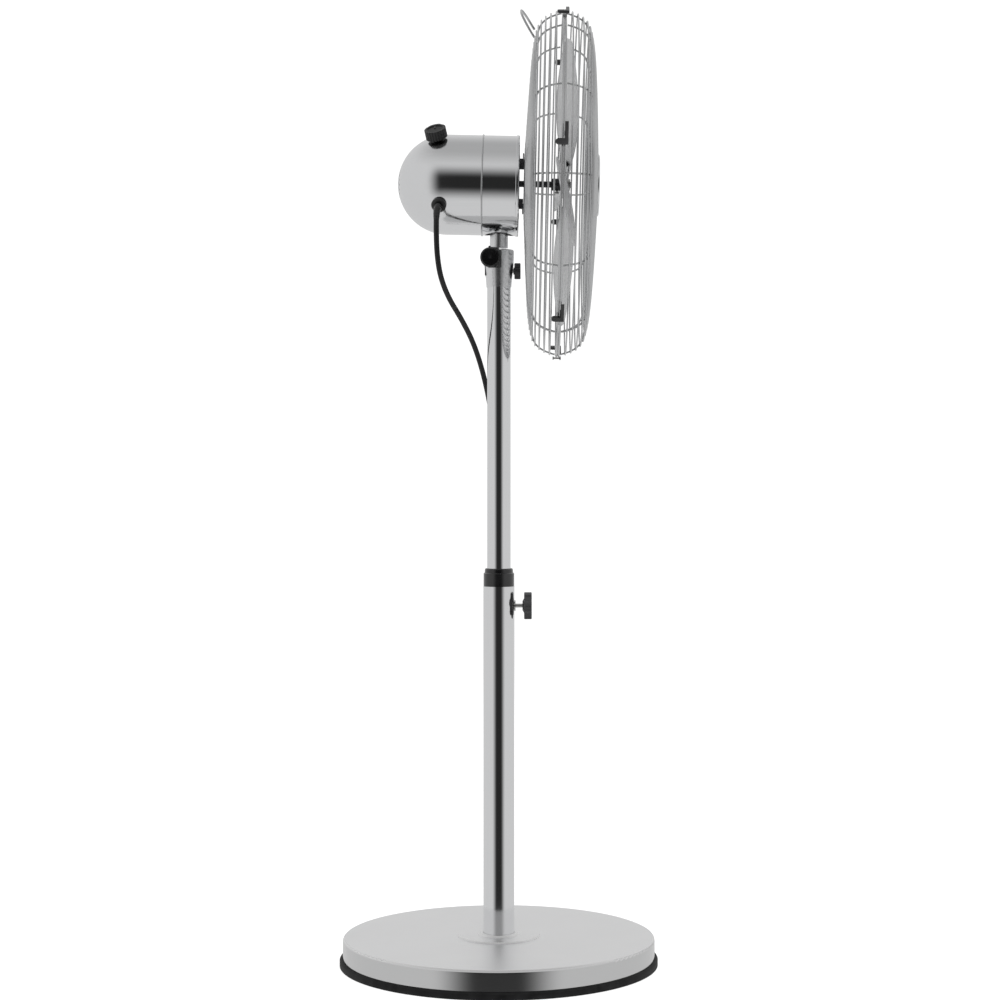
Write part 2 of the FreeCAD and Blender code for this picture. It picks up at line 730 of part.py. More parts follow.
def motor():
    stack = size.stator_radius
    back = size.stator_back
    front = size.stator_front
    core = ring("stator_turned", size.rotor_radius + 0.4, stack, back, front)
    finished(core, "stator_core", SHAFT)
    coils = []
    for low, high in ((back.value - 9, back.value - 0.1), (front.value + 0.1, front.value + 9)):
        outer = Part.makeCylinder(42, high - low, Vector(0, 0, low))
        inner = Part.makeCylinder(28, high - low, Vector(0, 0, low))
        coils.append(outer.cut(inner))
    finished(plain("coils", Part.makeCompound(coils), SHAFT), "stator_windings")
    rotor = ring("rotor_turned", size.shaft_radius, size.rotor_radius, back, front)
    finished(rotor, "rotor_core", SHAFT)
    shaft = rod("shaft_rod", size.shaft_radius, size.shaft_front - size.shaft_back, None, 0)
    finished(shaft, "motor_shaft", SHAFT * Placement(Vector(0, 0, size.shaft_back.value), Rotation()))

    for label, face, edge, sign in (
        ("front_bracket", front + 0.05, front + 14.5, 1), ("rear_bracket", back - 0.05, back - 14.5, -1),
    ):
        bell = lathe(f"{label}_turned", [
            (stack - 4, face), (stack + 2, face), (stack + 2, edge - 2 * sign), (stack - 2, edge),
            (8.1, edge), (8.1, edge - 4 * sign), (stack - 4, edge - 4 * sign),
        ])
        finished(bell, label, SHAFT)
    races = []
    for middle in (front.value + 12.5, back.value - 12.5):
        outer = Part.makeCylinder(8.05, 7, Vector(0, 0, middle - 3.5))
        races.append(outer.cut(Part.makeCylinder(4.05, 7, Vector(0, 0, middle - 3.5))))
    finished(plain("bearing_pair", Part.makeCompound(races), SHAFT), "motor_bearings")

    can = rod("can_rod", 8, 30, HEAD * Placement(Vector(-84, -30, 40), Rotation(Y_AXIS, 90)))
    finished(can, "capacitor")


def drive():
    """Gearbox behind the motor, its worm wheel and the swivel block under the motor."""
    middle = size.shaft_rise.value
    reach = 14.2
    case = Part.makeBox(26.3, 36, 30, Vector(-64.5, -9, middle - 15))
    room = Part.makeBox(22, 31, 25, Vector(-62, -6.5, middle - 12.5))
    entry = Part.makeCylinder(5.2, 12, Vector(-46, 0, middle), X_AXIS)
    foot = Part.makeCylinder(3.1, 6, Vector(-51, reach, middle - 17))
    finished(plain("gear_case", case.cut(room).cut(entry).cut(foot), HEAD), "gearbox_case")

    wheel = Part.makeCylinder(9.6, 6, Vector(0, 0, -3))
    for i in range(20):
        turn = math.radians(i * 18)
        wheel = wheel.cut(Part.makeCylinder(0.8, 8, Vector(9.9 * math.cos(turn), 9.9 * math.sin(turn), -4)))
    stem = Part.makeCylinder(3, 29, Vector(0, 0, -29))
    arm = Part.makeBox(17, 7, 3, Vector(-3.5, -3.5, -29))
    pin = Part.makeCylinder(2.2, 6, Vector(10.5, 0, -34))
    wheel = wheel.fuse([stem, arm, pin]).removeSplitter()
    finished(plain("worm_gear", wheel, HEAD * Placement(Vector(-51, reach, middle), Rotation())), "worm_wheel")

    top = middle - size.stator_radius.value - 2.05
    bottom = size.neck_top.value + 0.35
    swivel = Part.makeBox(24, 24, top - bottom, Vector(-12, -12, bottom))
    bore = Part.makeCylinder(size.swivel_radius.value + 0.04, 20, Vector(0, 0, bottom - 1))
    finished(plain("swivel_housing", swivel.cut(bore), HEAD), "swivel_block")


# Guard

FIRST_RIB = -3.2
FIRST_CLIP = 9


def guard_outline(front):
    """Half of the guard's section: radius and distance along the shaft, from the middle to the rim."""
    rim = size.rim_radius.value
    seam = size.guard_seam.value
    if front:
        flat = size.guard_front.value
        return [(36, flat), (112, flat - 3), (190, flat - 8.5), (215, flat - 20), (rim, seam + 3)]
    flat = size.guard_back.value
    return [(38, flat), (120, flat + 4), (190, flat + 8.5), (215, flat + 20), (rim, seam - 3)]


def outline_wire(front, inset):
    """The guard's section as a smooth wire in the plane of X and Z, moved inwards by inset."""
    points = []
    outline = guard_outline(front)
    for i, (radius, u) in enumerate(outline):
        before = outline[max(i - 1, 0)]
        after = outline[min(i + 1, len(outline) - 1)]
        way = Vector(after[0] - before[0], 0, after[1] - before[1]).normalize()
        inward = Vector(-way.z, 0, way.x) * (-1 if front else 1)
        points.append(Vector(radius, 0, u) + inward * inset)
    return points


def wire_ring(radius, u, wire_radius):
    """A ring of wire, eight-sided in section and as heavy as the round one."""
    reach = wire_radius * math.sqrt(2 * math.pi / (8 * math.sin(math.pi / 4)))
    corners = []
    for i in range(9):
        turn = math.pi / 4 * (i % 8 + 0.5)
        corners.append(Vector(radius + reach * math.cos(turn), 0, u + reach * math.sin(turn)))
    section = Part.Face(Part.makePolygon(corners))
    return section.revolve(Vector(), Z_AXIS, 360)


def guard(front):
    """Rings and ribs of one guard. The ribs run inside the rings."""
    wire_radius = size.ring_wire.value
    rib_radius = size.rib_wire.value
    rim_at = size.guard_seam.value + (1.45 if front else -1.45)
    path = smooth_wire(outline_wire(front, 0))
    count = int(path.Length // size.ring_pitch.value)
    solids = []
    for point in path.discretize(Number=count + 1)[:-1]:
        solids.append(wire_ring(point.x, point.z, wire_radius))
    solids.append(wire_ring(size.rim_radius.value, rim_at, size.rim_wire.value))
    inset = wire_radius + rib_radius + 0.3
    spine = outline_wire(front, inset)
    ends = spine[:-1] + [Vector(size.rim_radius.value - inset - 0.2, 0, rim_at + (1 if front else -1) * -1.0)]
    rib = tube_along(ends, rib_radius)
    steps = int(size.rib_count.value)
    for i in range(steps):
        turned = rib.copy()
        turned.rotate(Vector(), Z_AXIS, -(FIRST_RIB + i * 360 / steps + 90))
        solids.append(turned)
    return Part.makeCompound(solids)


def guards():
    finished(plain("guard_rear", guard(False), SHAFT), "rear_guard")
    finished(plain("guard_front", guard(True), SHAFT), "front_guard")
    front = size.guard_front
    badge = lathe("badge_turned", [
        (0, front - 5.5), (size.badge_radius - 6, front - 5.5), (size.badge_radius - 6, front + 1.3),
        (size.badge_radius, front + 1.3), (size.badge_radius, front + 1.9),
        (size.badge_radius - 1.5, front + 2.9), (0, front + 3.4),
    ])
    finished(badge, "guard_badge", SHAFT)

    mounts = []
    for angle in (45, 135, 225, 315):
        foot = Part.makeBox(9.4, 9, 1.4, Vector(28, -4.5, 22.95))
        riser = Part.makeBox(1.4, 9, 7.3, Vector(36, -4.5, 22.95))
        lip = Part.makeBox(10, 9, 1.4, Vector(36, -4.5, 28.85))
        leg = foot.fuse([riser, lip]).removeSplitter()
        leg.rotate(Vector(), Z_AXIS, angle)
        mounts.append(leg)
    finished(plain("mount_legs", Part.makeCompound(mounts), SHAFT), "guard_mounts")

    seam = size.guard_seam.value
    rim = size.rim_radius.value
    lock = Part.makeCylinder(1.2, 9, Vector(0, 0, -4.5))
    lock = lock.fuse(Part.makeCylinder(2.2, 1.6, Vector(0, 0, -6.1)))
    lock = lock.fuse(hexagon(4.4, 1.8).translate(Vector(0, 0, 2.7))).removeSplitter()
    seat = SHAFT * around(-90) * Placement(Vector(rim + 2.6, 0, seam), Rotation())
    finished(plain("lock_screw_guard", lock, seat), "guard_lock_screw")


def carry_loop():
    """A wire handle that leans back from the top of the rear guard."""
    flat = size.guard_back.value
    lean = math.radians(58)
    foot = Vector(-193.6, 0, flat + 8.8)
    out = Vector(-math.sin(lean), 0, -math.cos(lean))
    points = [
        foot + Vector(0, -27, 0), foot + out * 18 + Vector(0, -27, 0), foot + out * 33 + Vector(0, -14, 0),
        foot + out * 33 + Vector(0, 14, 0), foot + out * 18 + Vector(0, 27, 0), foot + Vector(0, 27, 0),
    ]
    finished(plain("handle_wire", tube_along(points, 1.6), SHAFT), "carry_loop")


def clips():
    """Clips that swing about the front rim. Local X points outwards, Z along the shaft from the seam."""
    gap = 1.6
    rim_at = Vector(-gap, -3, 1.45)
    for i in range(6):
        bar = Part.makeBox(3.6, 28, 4.3, Vector(0, -14, 1.4))
        foot = Part.makeBox(3.6, 7, 8.4, Vector(0, 7, -6))
        toe = Part.makeCylinder(3.5, 3.6, Vector(0, 10.5, -6), X_AXIS)
        saddle = Part.makeCylinder(2.4, 6, rim_at, Y_AXIS).cut(Part.makeCylinder(1.3, 6, rim_at, Y_AXIS))
        saddle = saddle.common(Part.makeBox(6, 6, 6, rim_at + Vector(-0.8, 0, -0.6)))
        clip = bar.fuse([foot, toe, saddle]).removeSplitter()
        seat = SHAFT * around(FIRST_CLIP + 60 * i)
        seat = seat * Placement(Vector(size.rim_radius.value + gap, 0, size.guard_seam.value), Rotation())
        finished(plain(f"clip_{i + 1}", clip, seat), f"guard_clip_{i + 1}")


# Blades


def blade_section(radius):
    """The closed outline of a blade across one radius: chord, pitch and a little camber."""
    share = (radius - 24) / (size.blade_tip.value - 24)
    share = min(share, 1)
    chord = 34 + 76 * math.sin(math.pi * share ** 0.8) ** 0.75
    width = 6 + size.blade_width.value * math.sin(math.pi * share ** 0.85) ** 0.8
    pitch = math.asin(min(width / chord, 0.55))
    half = size.blade_sheet.value / 2
    sweep = 10 * share
    rows = []
    for offset in (half, -half):
        row = []
        for i in range(7):
            along_chord = i / 6 - 0.5
            camber = 0.05 * chord * (1 - 4 * along_chord ** 2)
            reach = along_chord * chord
            y = reach * math.cos(pitch) + sweep - (camber + offset) * math.sin(pitch)
            z = reach * math.sin(pitch) + (camber + offset) * math.cos(pitch)
            row.append(Vector(radius, y, z))
        rows.append(row)
    edges = []
    for row in (rows[0], rows[1][::-1]):
        curve = Part.BSplineCurve()
        curve.interpolate(row)
        edges.append(curve.toShape())
    edges.insert(1, Part.makeLine(rows[0][-1], rows[1][-1]))
    edges.append(Part.makeLine(rows[1][0], rows[0][0]))
    return Part.Wire(edges)


def rotor():
    plane = size.blade_plane.value
    tip = size.blade_tip.value
    sections = [blade_section(r) for r in (24, 45, 75, 105, 135, 160, 176, tip - 3, tip)]
    blade = Part.makeLoft(sections, True, False)
    count = int(size.blade_count.value)
    disc = Part.makeCylinder(31, 1.6, Vector(0, 0, plane - 0.8))
    disc = disc.cut(Part.makeCylinder(size.shaft_radius.value + 0.02, 6, Vector(0, 0, plane - 3)))
    solids = [disc]
    for i in range(count):
        turned = blade.copy()
        turned.translate(Vector(0, 0, plane))
        turned.rotate(Vector(), Z_AXIS, -(FIRST_BLADE + i * 360 / count + 90))
        solids.append(turned)
    blades = solids[0].fuse(solids[1:])
    finished(plain("blade_set", blades, SHAFT), "fan_blades")

    hub = Part.makeCylinder(size.hub_radius.value, 17, Vector(0, 0, plane - 1.0 - 17))
    hub = hub.cut(Part.makeCylinder(size.shaft_radius.value + 0.02, 30, Vector(0, 0, 60)))
    hub = hub.cut(Part.makeCylinder(1.6, 12, Vector(4, 0, plane - 11), X_AXIS))
    finished(plain("hub_turned", hub, SHAFT), "blade_hub")
    screw = Part.makeCylinder(1.55, 6.5, Vector(4.1, 0, plane - 11), X_AXIS)
    screw = screw.fuse(Part.makeCylinder(2.8, 2.4, Vector(9.2, 0, plane - 11), X_AXIS)).removeSplitter()
    finished(plain("hub_set_screw", screw, SHAFT), "hub_screw")
    nut = hexagon(13, 5).cut(Part.makeCylinder(size.shaft_radius.value + 0.02, 6))
    finished(plain("shaft_nut", nut, SHAFT * Placement(Vector(0, 0, plane + 1.0), Rotation())), "blade_nut")


FIRST_BLADE = 73


# Power cord: its route from the grommet, behind the pole, over the base and along the floor.
ROUTE = [
    Vector(-75.4, -60.6, 966.1), Vector(-77, -71, 960.3), Vector(-77.4, -75.8, 946.5),
    Vector(-77.3, -76.6, 927), Vector(-76.3, -75.4, 902), Vector(-72.5, -69, 876),
    Vector(-63, -52, 851), Vector(-48, -27, 827), Vector(-33, 0, 798),
    Vector(-21, 21, 761), Vector(-11, 31, 714), Vector(-4, 34, 658),
    Vector(-1, 33, 600), Vector(2, 35, 542), Vector(1, 34, 484),
    Vector(-1, 36, 426), Vector(0, 34, 368), Vector(2, 35, 310),
    Vector(1, 37, 252), Vector(-1, 36, 196), Vector(0, 39, 146),
    Vector(1, 46, 104), Vector(1, 62, 72), Vector(0, 86, 50),
    Vector(-1, 118, 41.5), Vector(-2, 156, 39.3), Vector(-4, 190, 39.2),
    Vector(-5, 216, 37.4), Vector(-6, 240, 24.5), Vector(-9, 261, 9.6),
    Vector(-17, 283, 3.9), Vector(-35, 299, 3.7), Vector(-60, 305, 3.7),
    Vector(-86, 302, 3.7), Vector(-110, 291, 3.7), Vector(-130, 276, 3.7),
    Vector(-139, 254, 3.7), Vector(-135, 230, 3.7), Vector(-119, 212, 3.7),
    Vector(-95, 205, 3.7), Vector(-60, 209, 3.7), Vector(-24, 217, 3.7),
    Vector(14, 224, 3.7), Vector(50, 226, 3.8), Vector(86, 217, 5), Vector(116, 203, 7.2),
]
# The runs in which the cord passes from the head to the tilt arm and on to the pole.
CORD_CUTS = (6, 10)


def cord():
    names = ("cord_upper", "cord_middle", "cord_lower")
    radius = size.cord_radius.value
    for name, edges in zip(names, smooth_edges(ROUTE, CORD_CUTS)):
        path = Part.Wire(edges)
        tube = swept(path, radius)
        expected = math.pi * radius ** 2 * path.Length
        print(f"{name}: {path.Length:.1f} long, volume {tube.Volume:.0f} against {expected:.0f}")
        finished(plain(f"{name}_tube", tube), name)
    print("cord radii:", " ".join(f"{radius:.0f}" for radius in arc_radii(ROUTE)))

    level = Vector(ROUTE[-1].x - ROUTE[-2].x, ROUTE[-1].y - ROUTE[-2].y, 0)
    seat = Placement(ROUTE[-1], Rotation(level, Vector(), Z_AXIS, "XZY"))
    body = pad("plug_moulding", [
        (0, -4.6), (12, -5.6), (15, -11), (22, -12), (26, -17), (37, -17),
        (37, 17), (26, 17), (22, 12), (15, 11), (12, 5.6), (0, 4.6),
    ], 12.4)
    finished(body, "plug_body", seat * Placement(Vector(0, 0, -6.2), Rotation()))
    pins = []
    for offset in (-8.75, 8.75):
        shank = Part.makeCylinder(2, 17, Vector(37.05, offset, 0), X_AXIS)
        nose = Part.makeSphere(2, Vector(54.05, offset, 0))
        pins.append(shank.fuse(nose).removeSplitter())
    finished(plain("plug_prongs", Part.makeCompound(pins), seat), "plug_pins")


def main_parts():
    base()
    pole()
    socket()
    tilt_arm()
    housing()
    controls()
    motor()
    drive()
    guards()
    carry_loop()
    clips()
    rotor()
    cord()


main_parts()
doc.recompute()

for thing in doc.Objects:
    if "Invalid" in thing.State or "Error" in thing.State:
        raise RuntimeError(f"{thing.Label}: {thing.State}")
os.makedirs("parts", exist_ok=True)
for name in os.listdir("parts"):
    os.remove(os.path.join("parts", name))
for thing in nodes:
    shape = thing.Shape
    if shape.isNull() or not shape.isValid():
        raise RuntimeError(f"{thing.Label} has no valid shape")
    shape.exportStep(os.path.join("parts", f"{thing.Label}.step"))
    print(f"{thing.Label:22s} solids {len(shape.Solids):3d} volume {shape.Volume:12.1f} "
          f"x {shape.BoundBox.XMin:8.1f} {shape.BoundBox.XMax:8.1f} "
          f"z {shape.BoundBox.ZMin:8.1f} {shape.BoundBox.ZMax:8.1f}")
print(len(nodes), "nodes")
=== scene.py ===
"""Looks of the pedestal fan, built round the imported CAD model."""

import json
import math

import bmesh
import bpy
from mathutils import Matrix, Vector

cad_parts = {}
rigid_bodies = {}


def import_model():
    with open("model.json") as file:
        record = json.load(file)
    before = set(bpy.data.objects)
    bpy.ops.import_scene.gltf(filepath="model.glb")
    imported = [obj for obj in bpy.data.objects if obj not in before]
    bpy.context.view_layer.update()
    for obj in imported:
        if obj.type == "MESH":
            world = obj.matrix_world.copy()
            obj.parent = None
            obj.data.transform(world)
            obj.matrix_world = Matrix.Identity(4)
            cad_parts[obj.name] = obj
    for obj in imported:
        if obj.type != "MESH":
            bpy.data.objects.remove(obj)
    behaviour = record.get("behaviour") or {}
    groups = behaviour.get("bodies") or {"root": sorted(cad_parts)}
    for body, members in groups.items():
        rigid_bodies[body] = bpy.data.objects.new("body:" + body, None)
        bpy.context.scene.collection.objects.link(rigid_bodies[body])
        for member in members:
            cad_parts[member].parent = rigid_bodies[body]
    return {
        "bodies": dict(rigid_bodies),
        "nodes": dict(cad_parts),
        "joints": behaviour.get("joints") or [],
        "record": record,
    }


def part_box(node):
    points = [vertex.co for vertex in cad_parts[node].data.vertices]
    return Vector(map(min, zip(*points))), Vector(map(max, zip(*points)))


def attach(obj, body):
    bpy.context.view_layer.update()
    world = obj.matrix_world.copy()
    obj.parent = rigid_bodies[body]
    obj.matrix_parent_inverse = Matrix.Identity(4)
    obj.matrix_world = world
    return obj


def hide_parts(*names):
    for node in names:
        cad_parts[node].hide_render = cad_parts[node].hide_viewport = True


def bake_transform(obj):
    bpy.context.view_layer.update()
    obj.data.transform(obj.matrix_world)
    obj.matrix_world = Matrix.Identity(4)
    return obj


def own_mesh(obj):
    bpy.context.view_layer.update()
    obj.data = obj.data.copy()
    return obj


bl_info = {
    "name": "Pedestal Fan",
    "version": (1, 0, 0),
    "blender": (4, 5, 0),
    "location": "View3D > Sidebar > Fan",
    "description": "Builds a chrome pedestal fan round its CAD model",
    "category": "Add Mesh",
}

# The cord's route in metres, from the grommet to the plug.
ROUTE = [
    (-0.0754, -0.0606, 0.9661), (-0.077, -0.071, 0.9603), (-0.0774, -0.0758, 0.9465),
    (-0.0773, -0.0766, 0.927), (-0.0763, -0.0754, 0.902), (-0.0725, -0.069, 0.876),
    (-0.063, -0.052, 0.851), (-0.048, -0.027, 0.827), (-0.033, 0.0, 0.798),
    (-0.021, 0.021, 0.761), (-0.011, 0.031, 0.714), (-0.004, 0.034, 0.658),
    (-0.001, 0.033, 0.6), (0.002, 0.035, 0.542), (0.001, 0.034, 0.484),
    (-0.001, 0.036, 0.426), (0.0, 0.034, 0.368), (0.002, 0.035, 0.31),
    (0.001, 0.037, 0.252), (-0.001, 0.036, 0.196), (0.0, 0.039, 0.146),
    (0.001, 0.046, 0.104), (0.001, 0.062, 0.072), (0.0, 0.086, 0.05),
    (-0.001, 0.118, 0.0415), (-0.002, 0.156, 0.0393), (-0.004, 0.19, 0.0392),
    (-0.005, 0.216, 0.0374), (-0.006, 0.24, 0.0245), (-0.009, 0.261, 0.0096),
    (-0.017, 0.283, 0.0039), (-0.035, 0.299, 0.0037), (-0.06, 0.305, 0.0037),
    (-0.086, 0.302, 0.0037), (-0.11, 0.291, 0.0037), (-0.13, 0.276, 0.0037),
    (-0.139, 0.254, 0.0037), (-0.135, 0.23, 0.0037), (-0.119, 0.212, 0.0037),
    (-0.095, 0.205, 0.0037), (-0.06, 0.209, 0.0037), (-0.024, 0.217, 0.0037),
    (0.014, 0.224, 0.0037), (0.05, 0.226, 0.0038), (0.086, 0.217, 0.005), (0.116, 0.203, 0.0072),
]
# Where the cord passes from the head to the tilt arm, from there to the pole, and where it
# comes to lie on the base.
UPPER_END = 0.839
MIDDLE_END = 0.686
BASE_REACH = 0.150

STATE = {}


# Sizes and colours


class FanSizes(bpy.types.PropertyGroup):
    """Driving sizes of what is built here. The rest comes from the frame."""

    ring_wire: bpy.props.FloatProperty(
        name="Ring wire", description="Radius of the guard's ring wires", default=0.00105, unit="LENGTH")
    rib_wire: bpy.props.FloatProperty(
        name="Rib wire", description="Radius of the guard's ribs", default=0.0012, unit="LENGTH")
    rim_wire: bpy.props.FloatProperty(
        name="Rim wire", description="Radius of the guard's rims", default=0.0013, unit="LENGTH")
    ring_pitch: bpy.props.FloatProperty(
        name="Ring pitch", description="Distance between rings along the guard",
        default=0.0074, unit="LENGTH")
    cord_radius: bpy.props.FloatProperty(
        name="Cord radius", description="Radius of the power cord", default=0.0034, unit="LENGTH")
    blade_tip: bpy.props.FloatProperty(
        name="Blade tip", description="Tip radius of the blades", default=0.186, unit="LENGTH")
    blade_sheet: bpy.props.FloatProperty(
        name="Blade sheet", description="Thickness of the blades", default=0.0012, unit="LENGTH")


def colour(name, value):
    return bpy.props.FloatVectorProperty(
        name=name, description=f"Base colour of the {name.lower()}", default=value,
        size=4, subtype="COLOR", min=0, max=1)


class FanColours(bpy.types.PropertyGroup):
    """Base colours of the materials."""

    chrome: colour("Chrome", (0.86, 0.865, 0.875, 1))
    wire: colour("Guard wire", (0.62, 0.625, 0.63, 1))
    blade: colour("Blade metal", (0.85, 0.855, 0.86, 1))
    plastic: colour("Black plastic", (0.005, 0.005, 0.0055, 1))
    steel: colour("Steel", (0.55, 0.55, 0.54, 1))


class FanStudio(bpy.types.PropertyGroup):
    """Brightness of the studio's parts, and the dark gap's extent."""

    wall: bpy.props.FloatProperty(name="Walls", description="Brightness of the walls", default=0.6)
    ceiling: bpy.props.FloatProperty(name="Ceiling", description="Brightness overhead", default=0.4)
    gap: bpy.props.FloatProperty(name="Gap", description="Brightness of the dark gap", default=0.02)
    gap_width: bpy.props.FloatProperty(
        name="Gap width", description="Width of the dark gap", default=math.radians(30), unit="ROTATION")
    gap_height: bpy.props.FloatProperty(
        name="Gap height", description="Height of the dark gap", default=math.radians(20), unit="ROTATION")
    gap_edge: bpy.props.FloatProperty(
        name="Gap edge", description="Softness of the gap's edge", default=math.radians(35), unit="ROTATION")


def sizes():
    return bpy.context.scene.fan_sizes


def colours():
    return bpy.context.scene.fan_colours


# Shader node groups


def new_group(name, inputs, outputs):
    """A shader node group with named sockets, and its input and output nodes."""
    tree = bpy.data.node_groups.new(name, "ShaderNodeTree")
    for label, kind, default in inputs:
        socket = tree.interface.new_socket(label, in_out="INPUT", socket_type=kind)
        if default is not None:
            socket.default_value = default
    for label, kind in outputs:
        tree.interface.new_socket(label, in_out="OUTPUT", socket_type=kind)
    return tree, tree.nodes.new("NodeGroupInput"), tree.nodes.new("NodeGroupOutput")


def add(tree, kind, **values):
    """A node with its properties set and its inputs linked or set by name."""
    node = tree.nodes.new(kind)
    inputs = values.pop("inputs", {})
    for key, value in values.items():
        setattr(node, key, value)
    for key, value in inputs.items():
        if isinstance(value, bpy.types.NodeSocket):
            tree.links.new(value, node.inputs[key])
        else:
            node.inputs[key].default_value = value
    return node


def maths(tree, operation, first, second=None, clamp=False):
    node = add(tree, "ShaderNodeMath", operation=operation, use_clamp=clamp)
    for index, value in enumerate((first, second)):
        if isinstance(value, bpy.types.NodeSocket):
            tree.links.new(value, node.inputs[index])
        elif value is not None:
            node.inputs[index].default_value = value
    return node.outputs[0]


def scaled(tree, value, low, high):
    """A value from nought to one, spread between two limits."""
    node = add(tree, "ShaderNodeMapRange")
    tree.links.new(value, node.inputs["Value"])
    for label, number in (("To Min", low), ("To Max", high)):
        if isinstance(number, bpy.types.NodeSocket):
            tree.links.new(number, node.inputs[label])
        else:
            node.inputs[label].default_value = number
    return node.outputs["Result"]


def tinted(tree, base, factor):
    """A colour times a grey factor."""
    node = add(tree, "ShaderNodeVectorMath", operation="SCALE")
    tree.links.new(base, node.inputs[0])
    tree.links.new(factor, node.inputs["Scale"])
    return node.outputs[0]


def smudge_group():
    """Faint handling marks: cloudy changes of tint and gloss."""
    tree, entry, leave = new_group(
        "fan_smudge",
        [("Color", "NodeSocketColor", (0.8, 0.8, 0.8, 1)), ("Roughness", "NodeSocketFloat", 0.08),
         ("Amount", "NodeSocketFloat", 0.05), ("Scale", "NodeSocketFloat", 14.0)],
        [("Color", "NodeSocketColor"), ("Roughness", "NodeSocketFloat"), ("Height", "NodeSocketFloat")])
    place = add(tree, "ShaderNodeTexCoord")
    cloud = add(tree, "ShaderNodeTexNoise", inputs={
        "Vector": place.outputs["Object"], "Scale": entry.outputs["Scale"], "Detail": 4.0, "Roughness": 0.6})
    fine = add(tree, "ShaderNodeTexNoise", inputs={
        "Vector": place.outputs["Object"], "Scale": 420.0, "Detail": 2.0})
    amount = entry.outputs["Amount"]
    shade = maths(tree, "SUBTRACT", 1.0, maths(tree, "MULTIPLY", amount, cloud.outputs["Fac"]))
    uneven = maths(tree, "MULTIPLY", amount, cloud.outputs["Fac"])
    rough = maths(tree, "ADD", entry.outputs["Roughness"], uneven)
    tree.links.new(tinted(tree, entry.outputs["Color"], shade), leave.inputs["Color"])
    tree.links.new(rough, leave.inputs["Roughness"])
    tree.links.new(fine.outputs["Fac"], leave.inputs["Height"])
    return tree


def brushed_group():
    """Fine lines drawn out along one direction."""
    tree, entry, leave = new_group(
        "fan_brushed",
        [("Color", "NodeSocketColor", (0.8, 0.8, 0.8, 1)), ("Roughness", "NodeSocketFloat", 0.15),
         ("Stretch", "NodeSocketVector", (900.0, 900.0, 6.0)), ("Amount", "NodeSocketFloat", 0.12)],
        [("Color", "NodeSocketColor"), ("Roughness", "NodeSocketFloat"), ("Height", "NodeSocketFloat")])
    place = add(tree, "ShaderNodeTexCoord")
    drawn = add(tree, "ShaderNodeVectorMath", operation="MULTIPLY")
    tree.links.new(place.outputs["Object"], drawn.inputs[0])
    tree.links.new(entry.outputs["Stretch"], drawn.inputs[1])
    lines = add(tree, "ShaderNodeTexNoise", inputs={"Vector": drawn.outputs[0], "Scale": 1.0, "Detail": 3.0})
    amount = entry.outputs["Amount"]
    shade = maths(tree, "SUBTRACT", 1.0, maths(tree, "MULTIPLY", amount, lines.outputs["Fac"]))
    uneven = maths(tree, "MULTIPLY", amount, lines.outputs["Fac"])
    rough = maths(tree, "ADD", entry.outputs["Roughness"], uneven)
    tree.links.new(tinted(tree, entry.outputs["Color"], shade), leave.inputs["Color"])
    tree.links.new(rough, leave.inputs["Roughness"])
    tree.links.new(lines.outputs["Fac"], leave.inputs["Height"])
    return tree


def grain_group():
    """Moulded plastic: a fine eroded grain, with worn paler edges."""
    tree, entry, leave = new_group(
        "fan_grain",
        [("Color", "NodeSocketColor", (0.02, 0.02, 0.02, 1)), ("Roughness", "NodeSocketFloat", 0.4),
         ("Grain", "NodeSocketFloat", 900.0), ("Wear", "NodeSocketFloat", 0.35)],
        [("Color", "NodeSocketColor"), ("Roughness", "NodeSocketFloat"), ("Height", "NodeSocketFloat")])
    place = add(tree, "ShaderNodeTexCoord")
    grain = add(tree, "ShaderNodeTexVoronoi", inputs={
        "Vector": place.outputs["Object"], "Scale": entry.outputs["Grain"]})
    cloud = add(tree, "ShaderNodeTexNoise", inputs={
        "Vector": place.outputs["Object"], "Scale": 60.0, "Detail": 3.0})
    edge = add(tree, "ShaderNodeNewGeometry")
    sharp = add(tree, "ShaderNodeMapRange", inputs={
        "Value": edge.outputs["Pointiness"], "From Min": 0.52, "From Max": 0.62})
    worn = maths(tree, "MULTIPLY", sharp.outputs["Result"], entry.outputs["Wear"])
    mix = add(tree, "ShaderNodeMix", data_type="RGBA")
    tree.links.new(maths(tree, "MULTIPLY", worn, cloud.outputs["Fac"]), mix.inputs["Factor"])
    tree.links.new(entry.outputs["Color"], mix.inputs[6])
    mix.inputs[7].default_value = (0.16, 0.16, 0.165, 1)
    rough = maths(tree, "ADD", entry.outputs["Roughness"], scaled(tree, cloud.outputs["Fac"], -0.06, 0.08))
    tree.links.new(mix.outputs[2], leave.inputs["Color"])
    tree.links.new(rough, leave.inputs["Roughness"])
    tree.links.new(grain.outputs["Distance"], leave.inputs["Height"])
    return tree


# Materials


def material(name, group, values, metallic=0.0, bump=0.02, coat=0.0, specular=0.5):
    """A Principled material whose colour, roughness and bump come from a shared group."""
    made = bpy.data.materials.new(name)
    made.use_nodes = True
    tree = made.node_tree
    shader = tree.nodes["Principled BSDF"]
    shader.inputs["Metallic"].default_value = metallic
    shader.inputs["Coat Weight"].default_value = coat
    shader.inputs["Specular IOR Level"].default_value = specular
    effect = add(tree, "ShaderNodeGroup", node_tree=STATE["groups"][group])
    for label, value in values.items():
        effect.inputs[label].default_value = value
    tree.links.new(effect.outputs["Color"], shader.inputs["Base Color"])
    tree.links.new(effect.outputs["Roughness"], shader.inputs["Roughness"])
    raised = add(tree, "ShaderNodeBump", inputs={"Strength": bump, "Distance": 0.0002})
    tree.links.new(effect.outputs["Height"], raised.inputs["Height"])
    tree.links.new(raised.outputs["Normal"], shader.inputs["Normal"])
    return made


